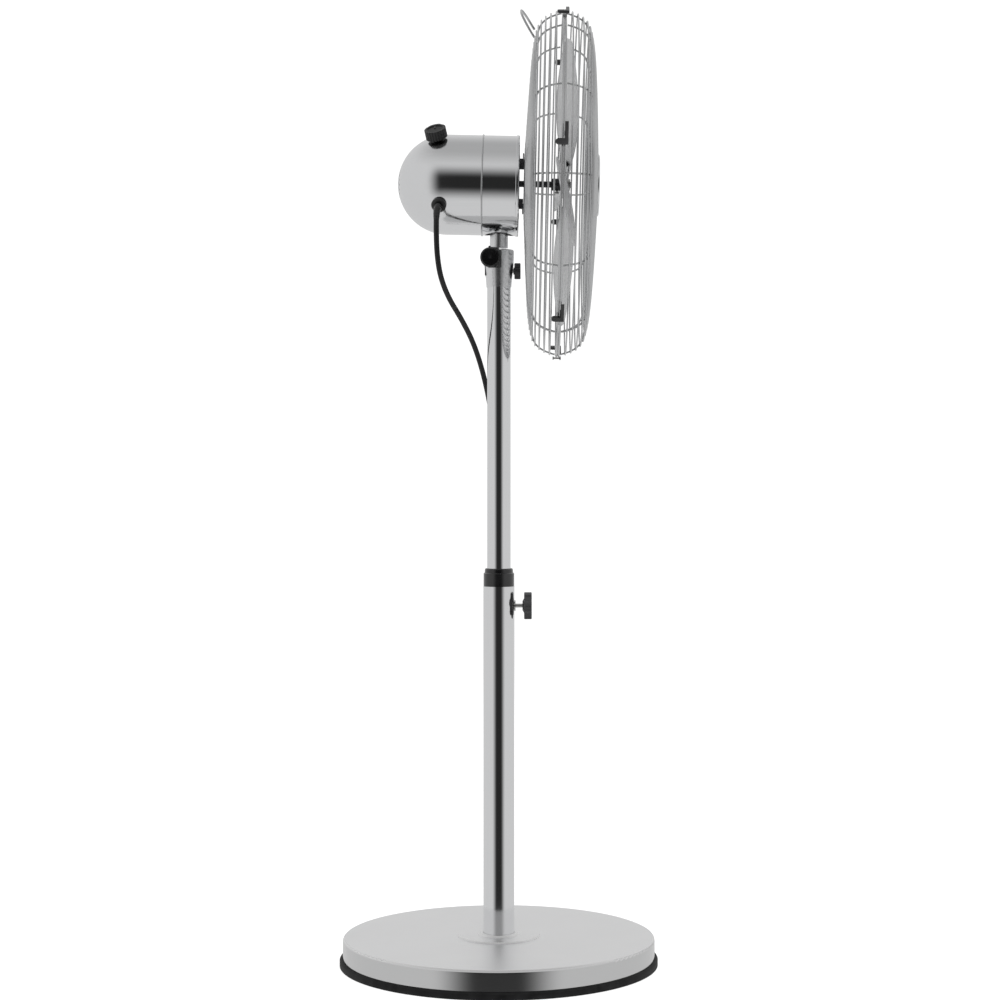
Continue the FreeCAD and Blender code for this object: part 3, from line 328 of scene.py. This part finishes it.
def make_materials():
    STATE["groups"] = {"smudge": smudge_group(), "brushed": brushed_group(), "grain": grain_group()}
    chrome = tuple(colours().chrome)
    blade = tuple(colours().blade)
    plastic = tuple(colours().plastic)
    steel = tuple(colours().steel)
    made = {
        "chrome": material("chrome", "smudge", {
            "Color": chrome, "Roughness": 0.055, "Amount": 0.03}, 1.0, 0.004),
        "chrome_tube": material("chrome_tube", "brushed", {
            "Color": chrome, "Roughness": 0.06, "Stretch": (700.0, 700.0, 5.0), "Amount": 0.04}, 1.0, 0.01),
        "chrome_housing": housing_material(chrome),
        "chrome_cast": material("chrome_cast", "smudge", {
            "Color": chrome, "Roughness": 0.22, "Amount": 0.08, "Scale": 60.0}, 1.0, 0.06),
        "chrome_wire": material("chrome_wire", "smudge", {
            "Color": tuple(colours().wire), "Roughness": 0.12, "Amount": 0.1, "Scale": 40.0}, 1.0, 0.01),
        # The base cover's chrome sheet carries painted shade down its side.
        "satin_sheet_painted_side_shade": satin_material_painted_side_shade((0.97, 0.972, 0.975, 1)),
        "blade_metal": material("blade_metal", "brushed", {
            "Color": blade, "Roughness": 0.24, "Stretch": (60.0, 420.0, 420.0), "Amount": 0.12}, 1.0, 0.04),
        "black_plastic": material("black_plastic", "grain", {
            "Color": plastic, "Roughness": 0.36, "Grain": 1400.0}, 0.0, 0.12, 0.1),
        "black_gloss": material("black_gloss", "grain", {
            "Color": plastic, "Roughness": 0.27, "Grain": 1100.0}, 0.0, 0.05, 0.15),
        "knob_plastic": material("knob_plastic", "grain", {
            "Color": (0.03, 0.03, 0.031, 1), "Roughness": 0.34, "Grain": 1400.0}, 0.0, 0.12),
        "collar_plastic": material("collar_plastic", "grain", {
            "Color": plastic, "Roughness": 0.2, "Grain": 1400.0, "Wear": 0.2}, 0.0, 0.03, 0.5),
        "cord_sheath": material("cord_sheath", "grain", {
            "Color": plastic, "Roughness": 0.48, "Grain": 1800.0, "Wear": 0.1}, 0.0, 0.15),
        "steel": material("steel", "brushed", {
            "Color": steel, "Roughness": 0.24, "Stretch": (300.0, 300.0, 300.0), "Amount": 0.15}, 1.0, 0.05),
        "dark_steel": material("dark_steel", "smudge", {
            "Color": (0.06, 0.06, 0.065, 1), "Roughness": 0.3, "Amount": 0.15, "Scale": 90.0}, 1.0, 0.05),
        "cast_iron": material("cast_iron", "grain", {
            "Color": (0.03, 0.03, 0.032, 1), "Roughness": 0.6, "Grain": 500.0}, 0.0, 0.4),
        "cast_alloy": material("cast_alloy", "grain", {
            "Color": (0.42, 0.42, 0.43, 1), "Roughness": 0.45, "Grain": 700.0}, 1.0, 0.3),
        "copper": material("copper", "brushed", {
            "Color": (0.62, 0.24, 0.1, 1), "Roughness": 0.3, "Stretch": (900.0, 900.0, 900.0)}, 1.0, 0.3),
        "grey_plastic": material("grey_plastic", "grain", {
            "Color": (0.5, 0.5, 0.48, 1), "Roughness": 0.5, "Grain": 900.0}, 0.0, 0.1),
        "dial_plastic": material("dial_plastic", "grain", {
            "Color": (0.003, 0.003, 0.003, 1), "Roughness": 0.3, "Grain": 1400.0}, 0.0, 0.08, 0.0, 0.22),
        "trim_plastic": material("trim_plastic", "grain", {
            "Color": (0.002, 0.002, 0.002, 1), "Roughness": 0.55, "Grain": 1400.0}, 0.0, 0.05, 0.0, 0.1),
        "height_plastic": material("height_plastic", "grain", {
            "Color": (0.05, 0.05, 0.052, 1), "Roughness": 0.4, "Grain": 1400.0}, 0.0, 0.12),
        "nickel": material("nickel", "smudge", {
            "Color": (0.72, 0.69, 0.62, 1), "Roughness": 0.14, "Amount": 0.05}, 1.0, 0.02),
    }
    STATE["materials"] = made


def housing_material(tint):
    """Spun chrome, polished towards the guard and a little duller round the dome."""
    made = material("chrome_housing", "brushed", {
        "Color": tint, "Roughness": 0.06, "Stretch": (5.0, 500.0, 500.0), "Amount": 0.06}, 1.0, 0.02)
    tree = made.node_tree
    shader = tree.nodes["Principled BSDF"]
    place = add(tree, "ShaderNodeTexCoord")
    along = add(tree, "ShaderNodeSeparateXYZ", inputs={0: place.outputs["Object"]})
    dull = add(tree, "ShaderNodeMapRange", inputs={
        "Value": along.outputs["X"], "From Min": -0.05, "From Max": -0.125, "To Min": 0.0, "To Max": 0.16})
    rough = shader.inputs["Roughness"].links[0].from_socket
    tree.links.new(maths(tree, "ADD", rough, dull.outputs["Result"]), shader.inputs["Roughness"])
    return made


def satin_material_painted_side_shade(tint):
    """Chrome sheet, satin on its flat top and polished down its side, with painted shade darkening the
    side's colour.
    """
    made = material("satin_sheet_painted_side_shade", "smudge", {"Color": tint, "Roughness": 0.12, "Amount": 0.04}, 1.0, 0.01)
    tree = made.node_tree
    shader = tree.nodes["Principled BSDF"]
    faces = add(tree, "ShaderNodeNewGeometry")
    up = add(tree, "ShaderNodeSeparateXYZ", inputs={0: faces.outputs["True Normal"]})
    flat = add(tree, "ShaderNodeMapRange", inputs={
        "Value": up.outputs["Z"], "From Min": 0.6, "From Max": 0.95, "To Min": 0.0, "To Max": 0.27})
    rough = shader.inputs["Roughness"].links[0].from_socket
    tree.links.new(maths(tree, "ADD", rough, flat.outputs["Result"]), shader.inputs["Roughness"])
    # Painted shade: the base colour is darkened to 0.72 of its tint on the steep side and left full on the
    # flat top.
    shade = add(tree, "ShaderNodeMapRange", inputs={
        "Value": up.outputs["Z"], "From Min": 0.2, "From Max": 0.9, "To Min": 0.72, "To Max": 1.0})
    plain_tint = shader.inputs["Base Color"].links[0].from_socket
    painted_side_shade = add(tree, "ShaderNodeVectorMath", operation="SCALE", inputs={
        0: plain_tint, "Scale": shade.outputs["Result"]})
    tree.links.new(painted_side_shade.outputs[0], shader.inputs["Base Color"])
    return made


SLOT_MATERIALS = {
    "chrome_sheet": "chrome",
    "chrome_tube": "chrome_tube",
    "chrome_cast": "chrome_cast",
    "chrome_wire": "chrome_wire",
    "polished_blade": "blade_metal",
    "black_plastic": "black_plastic",
    "black_gloss": "black_gloss",
    "black_cord": "cord_sheath",
    "zinc_steel": "steel",
    "dark_steel": "dark_steel",
    "cast_plate": "cast_iron",
    "cast_alloy": "cast_alloy",
    "copper_wire": "copper",
    "grey_plastic": "grey_plastic",
    "brass_pin": "nickel",
}
NODE_MATERIALS = {
    "rear_cover": "chrome_housing",
    "front_housing": "chrome_housing",
    "base_cover": "satin_sheet_painted_side_shade",
    "post_flange": "satin_sheet_painted_side_shade",
    "height_knob": "height_plastic",
    "base_trim_ring": "trim_plastic",
    "speed_knob": "dial_plastic",
    "guard_mounts": "dark_steel",
    "socket_knob": "knob_plastic",
    "height_collar": "collar_plastic",
}


# Mesh helpers


def named_mesh(name, bm, material_name, smooth=True):
    """An object from a bmesh, with its material."""
    bmesh.ops.recalc_face_normals(bm, faces=bm.faces)
    data = bpy.data.meshes.new(name)
    bm.to_mesh(data)
    bm.free()
    for face in data.polygons:
        face.use_smooth = smooth
    thing = bpy.data.objects.new(name, data)
    bpy.context.scene.collection.objects.link(thing)
    data.materials.append(STATE["materials"][material_name])
    return thing


def add_ring(bm, matrix, radius, u, wire, steps=144, sides=10):
    """A closed wire ring about the local X axis."""
    loops = []
    for i in range(steps):
        turn = 2 * math.pi * i / steps
        out = Vector((0, math.cos(turn), math.sin(turn)))
        centre = Vector((u, 0, 0)) + out * radius
        loop = []
        for k in range(sides):
            a = 2 * math.pi * k / sides
            across = out * wire * math.cos(a) + Vector((wire * math.sin(a), 0, 0))
            loop.append(bm.verts.new(matrix @ (centre + across)))
        loops.append(loop)
    for i in range(steps):
        join(bm, loops[i], loops[(i + 1) % steps])


def join(bm, first, second):
    count = len(first)
    for k in range(count):
        bm.faces.new((first[k], first[(k + 1) % count], second[(k + 1) % count], second[k]))


def add_tube(bm, points, radius, sides=12, radii=None):
    """A capped round tube along a list of points."""
    points = [Vector(p) for p in points]
    loops = []
    up = None
    for i, here in enumerate(points):
        way = (points[min(i + 1, len(points) - 1)] - points[max(i - 1, 0)]).normalized()
        if up is None:
            up = way.orthogonal().normalized()
        else:
            up = (up - way * up.dot(way)).normalized()
        side = way.cross(up)
        reach = radii[i] if radii else radius
        loop = []
        for k in range(sides):
            a = 2 * math.pi * k / sides
            loop.append(bm.verts.new(here + up * reach * math.cos(a) + side * reach * math.sin(a)))
        loops.append(loop)
    for first, second in zip(loops, loops[1:]):
        join(bm, first, second)
    bm.faces.new(loops[0])
    bm.faces.new(loops[-1][::-1])


def add_lathe(bm, matrix, outline, steps=96):
    """A turned form about the local Z axis from (radius, height) points. Nought radii close it."""
    loops = []
    for radius, height in outline:
        if radius == 0:
            loops.append([bm.verts.new(matrix @ Vector((0, 0, height)))])
            continue
        loop = []
        for k in range(steps):
            turn = 2 * math.pi * k / steps
            place = Vector((radius * math.cos(turn), radius * math.sin(turn), height))
            loop.append(bm.verts.new(matrix @ place))
        loops.append(loop)
    for first, second in zip(loops, loops[1:]):
        if len(first) == 1:
            for k in range(steps):
                bm.faces.new((first[0], second[(k + 1) % steps], second[k]))
        elif len(second) == 1:
            for k in range(steps):
                bm.faces.new((first[k], first[(k + 1) % steps], second[0]))
        else:
            join(bm, first, second)


def spline_points(name, points, resolution=24):
    """Points along the NURBS spline whose control points these are."""
    data = bpy.data.curves.new(name, "CURVE")
    data.dimensions = "3D"
    data.resolution_u = resolution
    spline = data.splines.new("NURBS")
    spline.points.add(len(points) - 1)
    for point, place in zip(spline.points, points):
        point.co = (*place, 1)
    spline.order_u = 3
    spline.use_endpoint_u = True
    bare = bpy.data.objects.new(name, data)
    mesh = bpy.data.meshes.new_from_object(bare)
    line = [v.co.copy() for v in mesh.vertices]
    bpy.data.meshes.remove(mesh)
    bpy.data.objects.remove(bare)
    bpy.data.curves.remove(data)
    return line


def even(line, step):
    """The line again, with points an even distance apart."""
    lengths = [0.0]
    for a, b in zip(line, line[1:]):
        lengths.append(lengths[-1] + (b - a).length)
    count = max(2, round(lengths[-1] / step))
    result = []
    k = 0
    for i in range(count + 1):
        target = lengths[-1] * i / count
        while k < len(line) - 2 and lengths[k + 1] < target:
            k += 1
        span = lengths[k + 1] - lengths[k]
        result.append(line[k].lerp(line[k + 1], (target - lengths[k]) / span if span else 0))
    return result


def line_length(line):
    return sum((b - a).length for a, b in zip(line, line[1:]))


# Frames from the CAD model


def joint(name):
    return next(j for j in STATE["frame"]["joints"] if j["name"] == name)


def shaft_frame():
    """Local X along the shaft, local Y the fan's left, local Z the head's up."""
    spin = joint("blade_spin")
    forward = Vector(spin["axis"]).normalized()
    left = Vector((0, 1, 0))
    up = forward.cross(left)
    matrix = Matrix((forward, left, up)).transposed().to_4x4()
    matrix.translation = Vector(spin["pos_m"])
    return matrix


def along_shaft(node):
    """The span of a node along the shaft, from the shaft frame's origin."""
    back = STATE["shaft"].inverted()
    spans = [(back @ v.co).x for v in STATE["frame"]["nodes"][node].data.vertices]
    return min(spans), max(spans)


def outward(angle):
    """A unit vector in the shaft frame at an angle from the near side towards the top."""
    turn = math.radians(angle)
    return Vector((0, -math.cos(turn), math.sin(turn)))


# Bearings of the first rib and blade, from the near side towards the top, and how many of each.
FIRST_RIB = -3.2
FIRST_BLADE = 73
RIB_COUNT = 12
BLADE_COUNT = 4


# Operators


class FAN_OT_stage(bpy.types.Operator):
    """Floor, studio light and camera"""

    bl_idname = "fan.stage"
    bl_label = "Stage"

    def execute(self, context):
        make_world()
        make_floor()
        make_lamps()
        make_camera()
        return {"FINISHED"}


def make_camera():
    data = bpy.data.cameras.new("camera")
    data.sensor_width = 36
    data.lens = 81.2
    data.shift_x = -0.03
    data.shift_y = -0.043
    data.clip_start = 0.05
    camera = bpy.data.objects.new("camera", data)
    camera.location = (0.04, -2.9, 0.65)
    camera.rotation_euler = (math.radians(90), 0, 0)
    bpy.context.scene.collection.objects.link(camera)
    bpy.context.scene.camera = camera


def soft_step(tree, value, start, end):
    """Nought before the start, one past the end, eased in between."""
    step = add(tree, "ShaderNodeMapRange", interpolation_type="SMOOTHSTEP", inputs={
        "Value": value, "From Min": start, "From Max": end})
    return step.outputs["Result"]


def soft_band(tree, value, low, high, edge):
    """One between two limits, with soft edges outside them."""
    rises = soft_step(tree, value, low - edge, low)
    falls = soft_step(tree, value, high + edge, high)
    return maths(tree, "MULTIPLY", rises, falls)


def lit(tree, mask, below, above):
    """A brightness that goes from one level to another with a mask."""
    level = add(tree, "ShaderNodeMix", inputs={"Factor": mask, 2: below, 3: above})
    return level.outputs[0]


def make_world():
    """A plain soft studio: pale walls, a dimmer ceiling and a dark gap on the camera's side."""
    studio = bpy.context.scene.fan_studio
    world = bpy.data.worlds.new("studio")
    bpy.context.scene.world = world
    world.use_nodes = True
    tree = world.node_tree
    background = tree.nodes["Background"]
    place = add(tree, "ShaderNodeTexCoord")
    split = add(tree, "ShaderNodeSeparateXYZ", inputs={0: place.outputs["Generated"]})
    x, y, z = split.outputs
    bearing = maths(tree, "ARCTAN2", x, maths(tree, "MULTIPLY", y, -1.0))
    height = maths(tree, "ARCSINE", z)
    ceiling = soft_step(tree, height, math.radians(30), math.radians(80))
    room = lit(tree, ceiling, studio.wall, studio.ceiling)
    across = soft_band(tree, bearing, -studio.gap_width / 2, studio.gap_width / 2, studio.gap_edge)
    upright = soft_band(tree, height, -studio.gap_height / 2, studio.gap_height / 2, studio.gap_edge)
    room = lit(tree, maths(tree, "MULTIPLY", across, upright), room, studio.gap)
    path = add(tree, "ShaderNodeLightPath")
    seen = lit(tree, path.outputs["Is Camera Ray"], room, 1.0)
    tree.links.new(seen, background.inputs["Color"])
    background.inputs["Strength"].default_value = 1.1


def make_floor():
    bm = bmesh.new()
    bmesh.ops.create_grid(bm, x_segments=4, y_segments=4, size=9)
    data = bpy.data.meshes.new("floor")
    bm.to_mesh(data)
    bm.free()
    floor = bpy.data.objects.new("floor", data)
    floor.location = (0, 0, -0.0005)
    bpy.context.scene.collection.objects.link(floor)
    paper = bpy.data.materials.new("floor_paper")
    paper.use_nodes = True
    shader = paper.node_tree.nodes["Principled BSDF"]
    shader.inputs["Base Color"].default_value = (0.6, 0.6, 0.6, 1)
    shader.inputs["Roughness"].default_value = 0.9
    shader.inputs["Specular IOR Level"].default_value = 0.0
    shader.inputs["Emission Color"].default_value = (1, 1, 1, 1)
    shader.inputs["Emission Strength"].default_value = 0.72
    data.materials.append(paper)
    floor.visible_glossy = False
    floor.visible_diffuse = False


def make_lamps():
    """Three large soft lamps that the mirrors don't show."""
    for name, place, aim, size, power in (
        ("key_lamp", (1.6, -2.2, 2.6), (0, 0, 0.8), 2.2, 42),
        ("fill_lamp", (-2.4, -1.2, 1.6), (0, 0, 0.7), 2.0, 22),
        ("back_lamp", (0.3, 2.6, 2.4), (0, 0, 0.7), 2.4, 26),
    ):
        data = bpy.data.lights.new(name, "AREA")
        data.size = size
        data.energy = power
        lamp = bpy.data.objects.new(name, data)
        lamp.location = place
        lamp.rotation_euler = (Vector(aim) - Vector(place)).to_track_quat("-Z", "Y").to_euler()
        lamp.visible_glossy = False
        bpy.context.scene.collection.objects.link(lamp)


class FAN_OT_cord(bpy.types.Operator):
    """Power cord in four stretches, and its strain relief"""

    bl_idname = "fan.cord"
    bl_label = "Cord"

    def execute(self, context):
        line = even(spline_points("cord_route", ROUTE), 0.004)
        upper_end = next(i for i, p in enumerate(line) if p.z < UPPER_END)
        middle_end = next(i for i, p in enumerate(line) if p.z < MIDDLE_END)
        hanging_end = next(i for i, p in enumerate(line) if p.y > BASE_REACH)
        upper = cord_stretch("cord_upper_sheath", line[:upper_end + 1])
        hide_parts("cord_upper")
        middle = cord_stretch("cord_middle_sheath", line[upper_end:middle_end + 1])
        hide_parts("cord_middle")
        hanging = cord_stretch("cord_hanging_sheath", line[middle_end:hanging_end + 1])
        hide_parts("cord_lower")
        lying = cord_stretch("cord_lying_sheath", line[hanging_end:])

        relief_end = 6
        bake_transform(upper)
        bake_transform(middle)
        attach(hanging, "stand")
        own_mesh(hanging)
        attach(lying, "stand")
        add_relief(line[:relief_end + 1])
        return {"FINISHED"}


def cord_stretch(name, points):
    """One stretch of the cord as a tube."""
    radius = sizes().cord_radius
    bm = bmesh.new()
    add_tube(bm, points, radius, 20)
    tube = named_mesh(name, bm, "cord_sheath")
    return tube


def add_relief(points):
    """A tapered sleeve round the cord where it leaves the grommet."""
    radius = sizes().cord_radius
    points = even(points, 0.0012)
    radii = []
    for i in range(len(points)):
        share = i / (len(points) - 1)
        rib = 0.00022 * math.cos(share * 14 * math.pi) if share < 0.9 else 0
        radii.append(radius + 0.0017 * (1 - share) + 0.0002 + rib)
    bm = bmesh.new()
    add_tube(bm, points, radius, 28, radii)
    relief = named_mesh("cord_strain_relief", bm, "black_gloss")
    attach(relief, "head")


class FAN_OT_guards(bpy.types.Operator):
    """Both wire guards"""

    bl_idname = "fan.guards"
    bl_label = "Guards"

    def execute(self, context):
        seam = (along_shaft("rear_guard")[1] + along_shaft("front_guard")[0]) / 2
        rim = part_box("front_guard")[1].y - sizes().rim_wire * 1.03
        for name, front in (("rear_guard", False), ("front_guard", True)):
            wires = guard_mesh(name, front, seam, rim)
            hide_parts(name)
            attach(wires, "head")
        return {"FINISHED"}


def guard_line(name, front, seam, rim):
    """The guard's section from its middle to its rim, as (distance, radius) points."""
    low, high = along_shaft(name)
    wire = sizes().ring_wire
    if front:
        flat = high - wire
        outline = [(flat, 0.036), (flat - 0.003, 0.112), (flat - 0.0085, 0.190), (flat - 0.020, 0.215),
                   (seam + 0.003, rim)]
    else:
        flat = low + wire
        outline = [(flat, 0.038), (flat + 0.004, 0.120), (flat + 0.0085, 0.190), (flat + 0.020, 0.215),
                   (seam - 0.003, rim)]
    return spline_points(f"{name}_section", [(u, 0, radius) for u, radius in outline], 40)


def guard_mesh(name, front, seam, rim):
    line = guard_line(name, front, seam, rim)
    ring_wire = sizes().ring_wire
    rib_wire = sizes().rib_wire
    shaft = STATE["shaft"]
    bm = bmesh.new()
    length = line_length(line)
    count = int(length // sizes().ring_pitch)
    for point in even(line, length / count)[:-1]:
        add_ring(bm, shaft, point.z, point.x, ring_wire)
    rim_at = seam + (0.00145 if front else -0.00145)
    add_ring(bm, shaft, rim, rim_at, sizes().rim_wire)
    inset = ring_wire + rib_wire - 0.0002
    spine = []
    for i, here in enumerate(line):
        way = (line[min(i + 1, len(line) - 1)] - line[max(i - 1, 0)]).normalized()
        inward = Vector((way.z, 0, -way.x)) * (-1 if front else 1)
        spine.append(here + inward * inset)
    spine = even([p for p in spine if p.z < rim - 0.002], 0.004)
    for i in range(RIB_COUNT):
        out = outward(FIRST_RIB + i * 360 / RIB_COUNT)
        add_tube(bm, [shaft @ (Vector((p.x, 0, 0)) + out * p.z) for p in spine], rib_wire, 10)
    return named_mesh(f"{name}_wires", bm, "chrome_wire")


class FAN_OT_blades(bpy.types.Operator):
    """Polished sheet metal blades"""

    bl_idname = "fan.blades"
    bl_label = "Blades"

    def execute(self, context):
        low, high = along_shaft("fan_blades")
        plane = (low + high) / 2
        bm = bmesh.new()
        for i in range(BLADE_COUNT):
            add_blade(bm, plane, FIRST_BLADE + i * 360 / BLADE_COUNT)
        seat = STATE["shaft"] @ Matrix.Translation((plane, 0, 0)) @ Matrix.Rotation(math.radians(90), 4, "Y")
        add_lathe(bm, seat, [(0.0045, -0.0009), (0.026, -0.0009), (0.031, -0.0003), (0.031, 0.0003),
                             (0.026, 0.0009), (0.012, 0.0012), (0.0045, 0.0012), (0.0045, -0.0009)])
        blades = named_mesh("blade_set", bm, "blade_metal")
        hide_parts("fan_blades")
        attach(blades, "rotor")
        return {"FINISHED"}


class FAN_OT_seam(bpy.types.Operator):
    """Rolled bead where the two shells of the housing meet"""

    bl_idname = "fan.seam"
    bl_label = "Housing seam"

    def execute(self, context):
        back = STATE["shaft"].inverted()
        points = [back @ v.co for v in STATE["frame"]["nodes"]["front_housing"].data.vertices]
        seam = min(p.x for p in points)
        low, high = min(p.z for p in points), max(p.z for p in points)
        radius = (max(p.y for p in points) - min(p.y for p in points)) / 2
        seat = STATE["shaft"] @ Matrix.Translation((seam, 0, high - radius))
        seat = seat @ Matrix.Rotation(math.radians(90), 4, "Y")
        if abs(high - low - 2 * radius) > 0.002:
            raise RuntimeError("the front housing isn't round")
        bm = bmesh.new()
        add_lathe(bm, seat, [(radius - 0.0002, -0.001), (radius + 0.0003, -0.0007), (radius + 0.0005, 0.0),
                             (radius + 0.0003, 0.0007), (radius - 0.0002, 0.001), (radius - 0.0002, -0.001)])
        bead = named_mesh("housing_seam_bead", bm, "chrome_wire")
        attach(bead, "head")
        return {"FINISHED"}


def bulge(share, power):
    """Nought at the root and tip, one in between."""
    return max(math.sin(math.pi * share ** power), 0)


def add_blade(bm, plane, angle):
    """One blade: chord, pitch and camber change from the root to the rounded tip."""
    shaft = STATE["shaft"]
    tip = sizes().blade_tip
    half = sizes().blade_sheet / 2
    out = outward(angle)
    across = Vector((0, -out.z, out.y))
    steps, chords = 36, 20
    sides = {1: [], -1: []}
    for i in range(steps + 1):
        share = 1 - (1 - i / steps) ** 1.6
        radius = 0.024 + (tip - 0.024) * share
        chord = 0.034 + 0.076 * bulge(share, 0.8) ** 0.75
        width = 0.006 + 0.021 * bulge(share, 0.85) ** 0.8
        pitch = math.asin(min(width / chord, 0.55))
        for side in sides:
            row = []
            for k in range(chords + 1):
                place = k / chords - 0.5
                camber = 0.05 * chord * (1 - 4 * place * place)
                reach = place * chord
                thin = camber + side * half * (1 - (2 * place) ** 8 * 0.7)
                y = reach * math.cos(pitch) + 0.010 * share - thin * math.sin(pitch)
                u = reach * math.sin(pitch) + thin * math.cos(pitch)
                row.append(bm.verts.new(shaft @ (Vector((plane + u, 0, 0)) + out * radius + across * y)))
            sides[side].append(row)
    for side, rows in sides.items():
        for a, b in zip(rows, rows[1:]):
            for k in range(chords):
                bm.faces.new((a[k], a[k + 1], b[k + 1], b[k]))
    top, bottom = sides[1], sides[-1]
    edge_top = [r[0] for r in top] + top[-1][1:] + [r[-1] for r in top[-2::-1]] + top[0][-2:0:-1]
    edge_low = [r[0] for r in bottom] + bottom[-1][1:] + [r[-1] for r in bottom[-2::-1]] + bottom[0][-2:0:-1]
    for k in range(len(edge_top)):
        following = (k + 1) % len(edge_top)
        bm.faces.new((edge_top[k], edge_top[following], edge_low[following], edge_low[k]))


class FAN_OT_finishes(bpy.types.Operator):
    """Materials of the carried-over CAD pieces"""

    bl_idname = "fan.finishes"
    bl_label = "Finishes"

    def execute(self, context):
        record = STATE["frame"]["record"]
        slots = {part["node"]: part["material_slot"] for part in record["subparts"]}
        for name, node in STATE["frame"]["nodes"].items():
            chosen = NODE_MATERIALS.get(name, SLOT_MATERIALS[slots[name]])
            node.data.materials.clear()
            node.data.materials.append(STATE["materials"][chosen])
        return {"FINISHED"}


class FAN_PT_panel(bpy.types.Panel):
    """Buttons that build the fan's pieces"""

    bl_idname = "FAN_PT_panel"
    bl_label = "Pedestal fan"
    bl_space_type = "VIEW_3D"
    bl_region_type = "UI"
    bl_category = "Fan"

    def draw(self, context):
        for operator in OPERATORS:
            self.layout.operator(operator.bl_idname)


OPERATORS = (FAN_OT_stage, FAN_OT_cord, FAN_OT_guards, FAN_OT_blades, FAN_OT_seam, FAN_OT_finishes)
CLASSES = (FanSizes, FanColours, FanStudio, *OPERATORS, FAN_PT_panel)


def register():
    for cls in CLASSES:
        bpy.utils.register_class(cls)
    bpy.types.Scene.fan_sizes = bpy.props.PointerProperty(type=FanSizes)
    bpy.types.Scene.fan_colours = bpy.props.PointerProperty(type=FanColours)
    bpy.types.Scene.fan_studio = bpy.props.PointerProperty(type=FanStudio)


def unregister():
    del bpy.types.Scene.fan_studio
    del bpy.types.Scene.fan_colours
    del bpy.types.Scene.fan_sizes
    for cls in reversed(CLASSES):
        bpy.utils.unregister_class(cls)


def main():
    for thing in list(bpy.data.objects):
        bpy.data.objects.remove(thing)
    STATE["frame"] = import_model()
    bpy.context.scene.view_settings.view_transform = "Standard"
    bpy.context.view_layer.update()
    register()
    STATE["shaft"] = shaft_frame()
    make_materials()
    for operator in OPERATORS:
        group, name = operator.bl_idname.split(".")
        getattr(getattr(bpy.ops, group), name)()


if __name__ == "__main__":
    main()
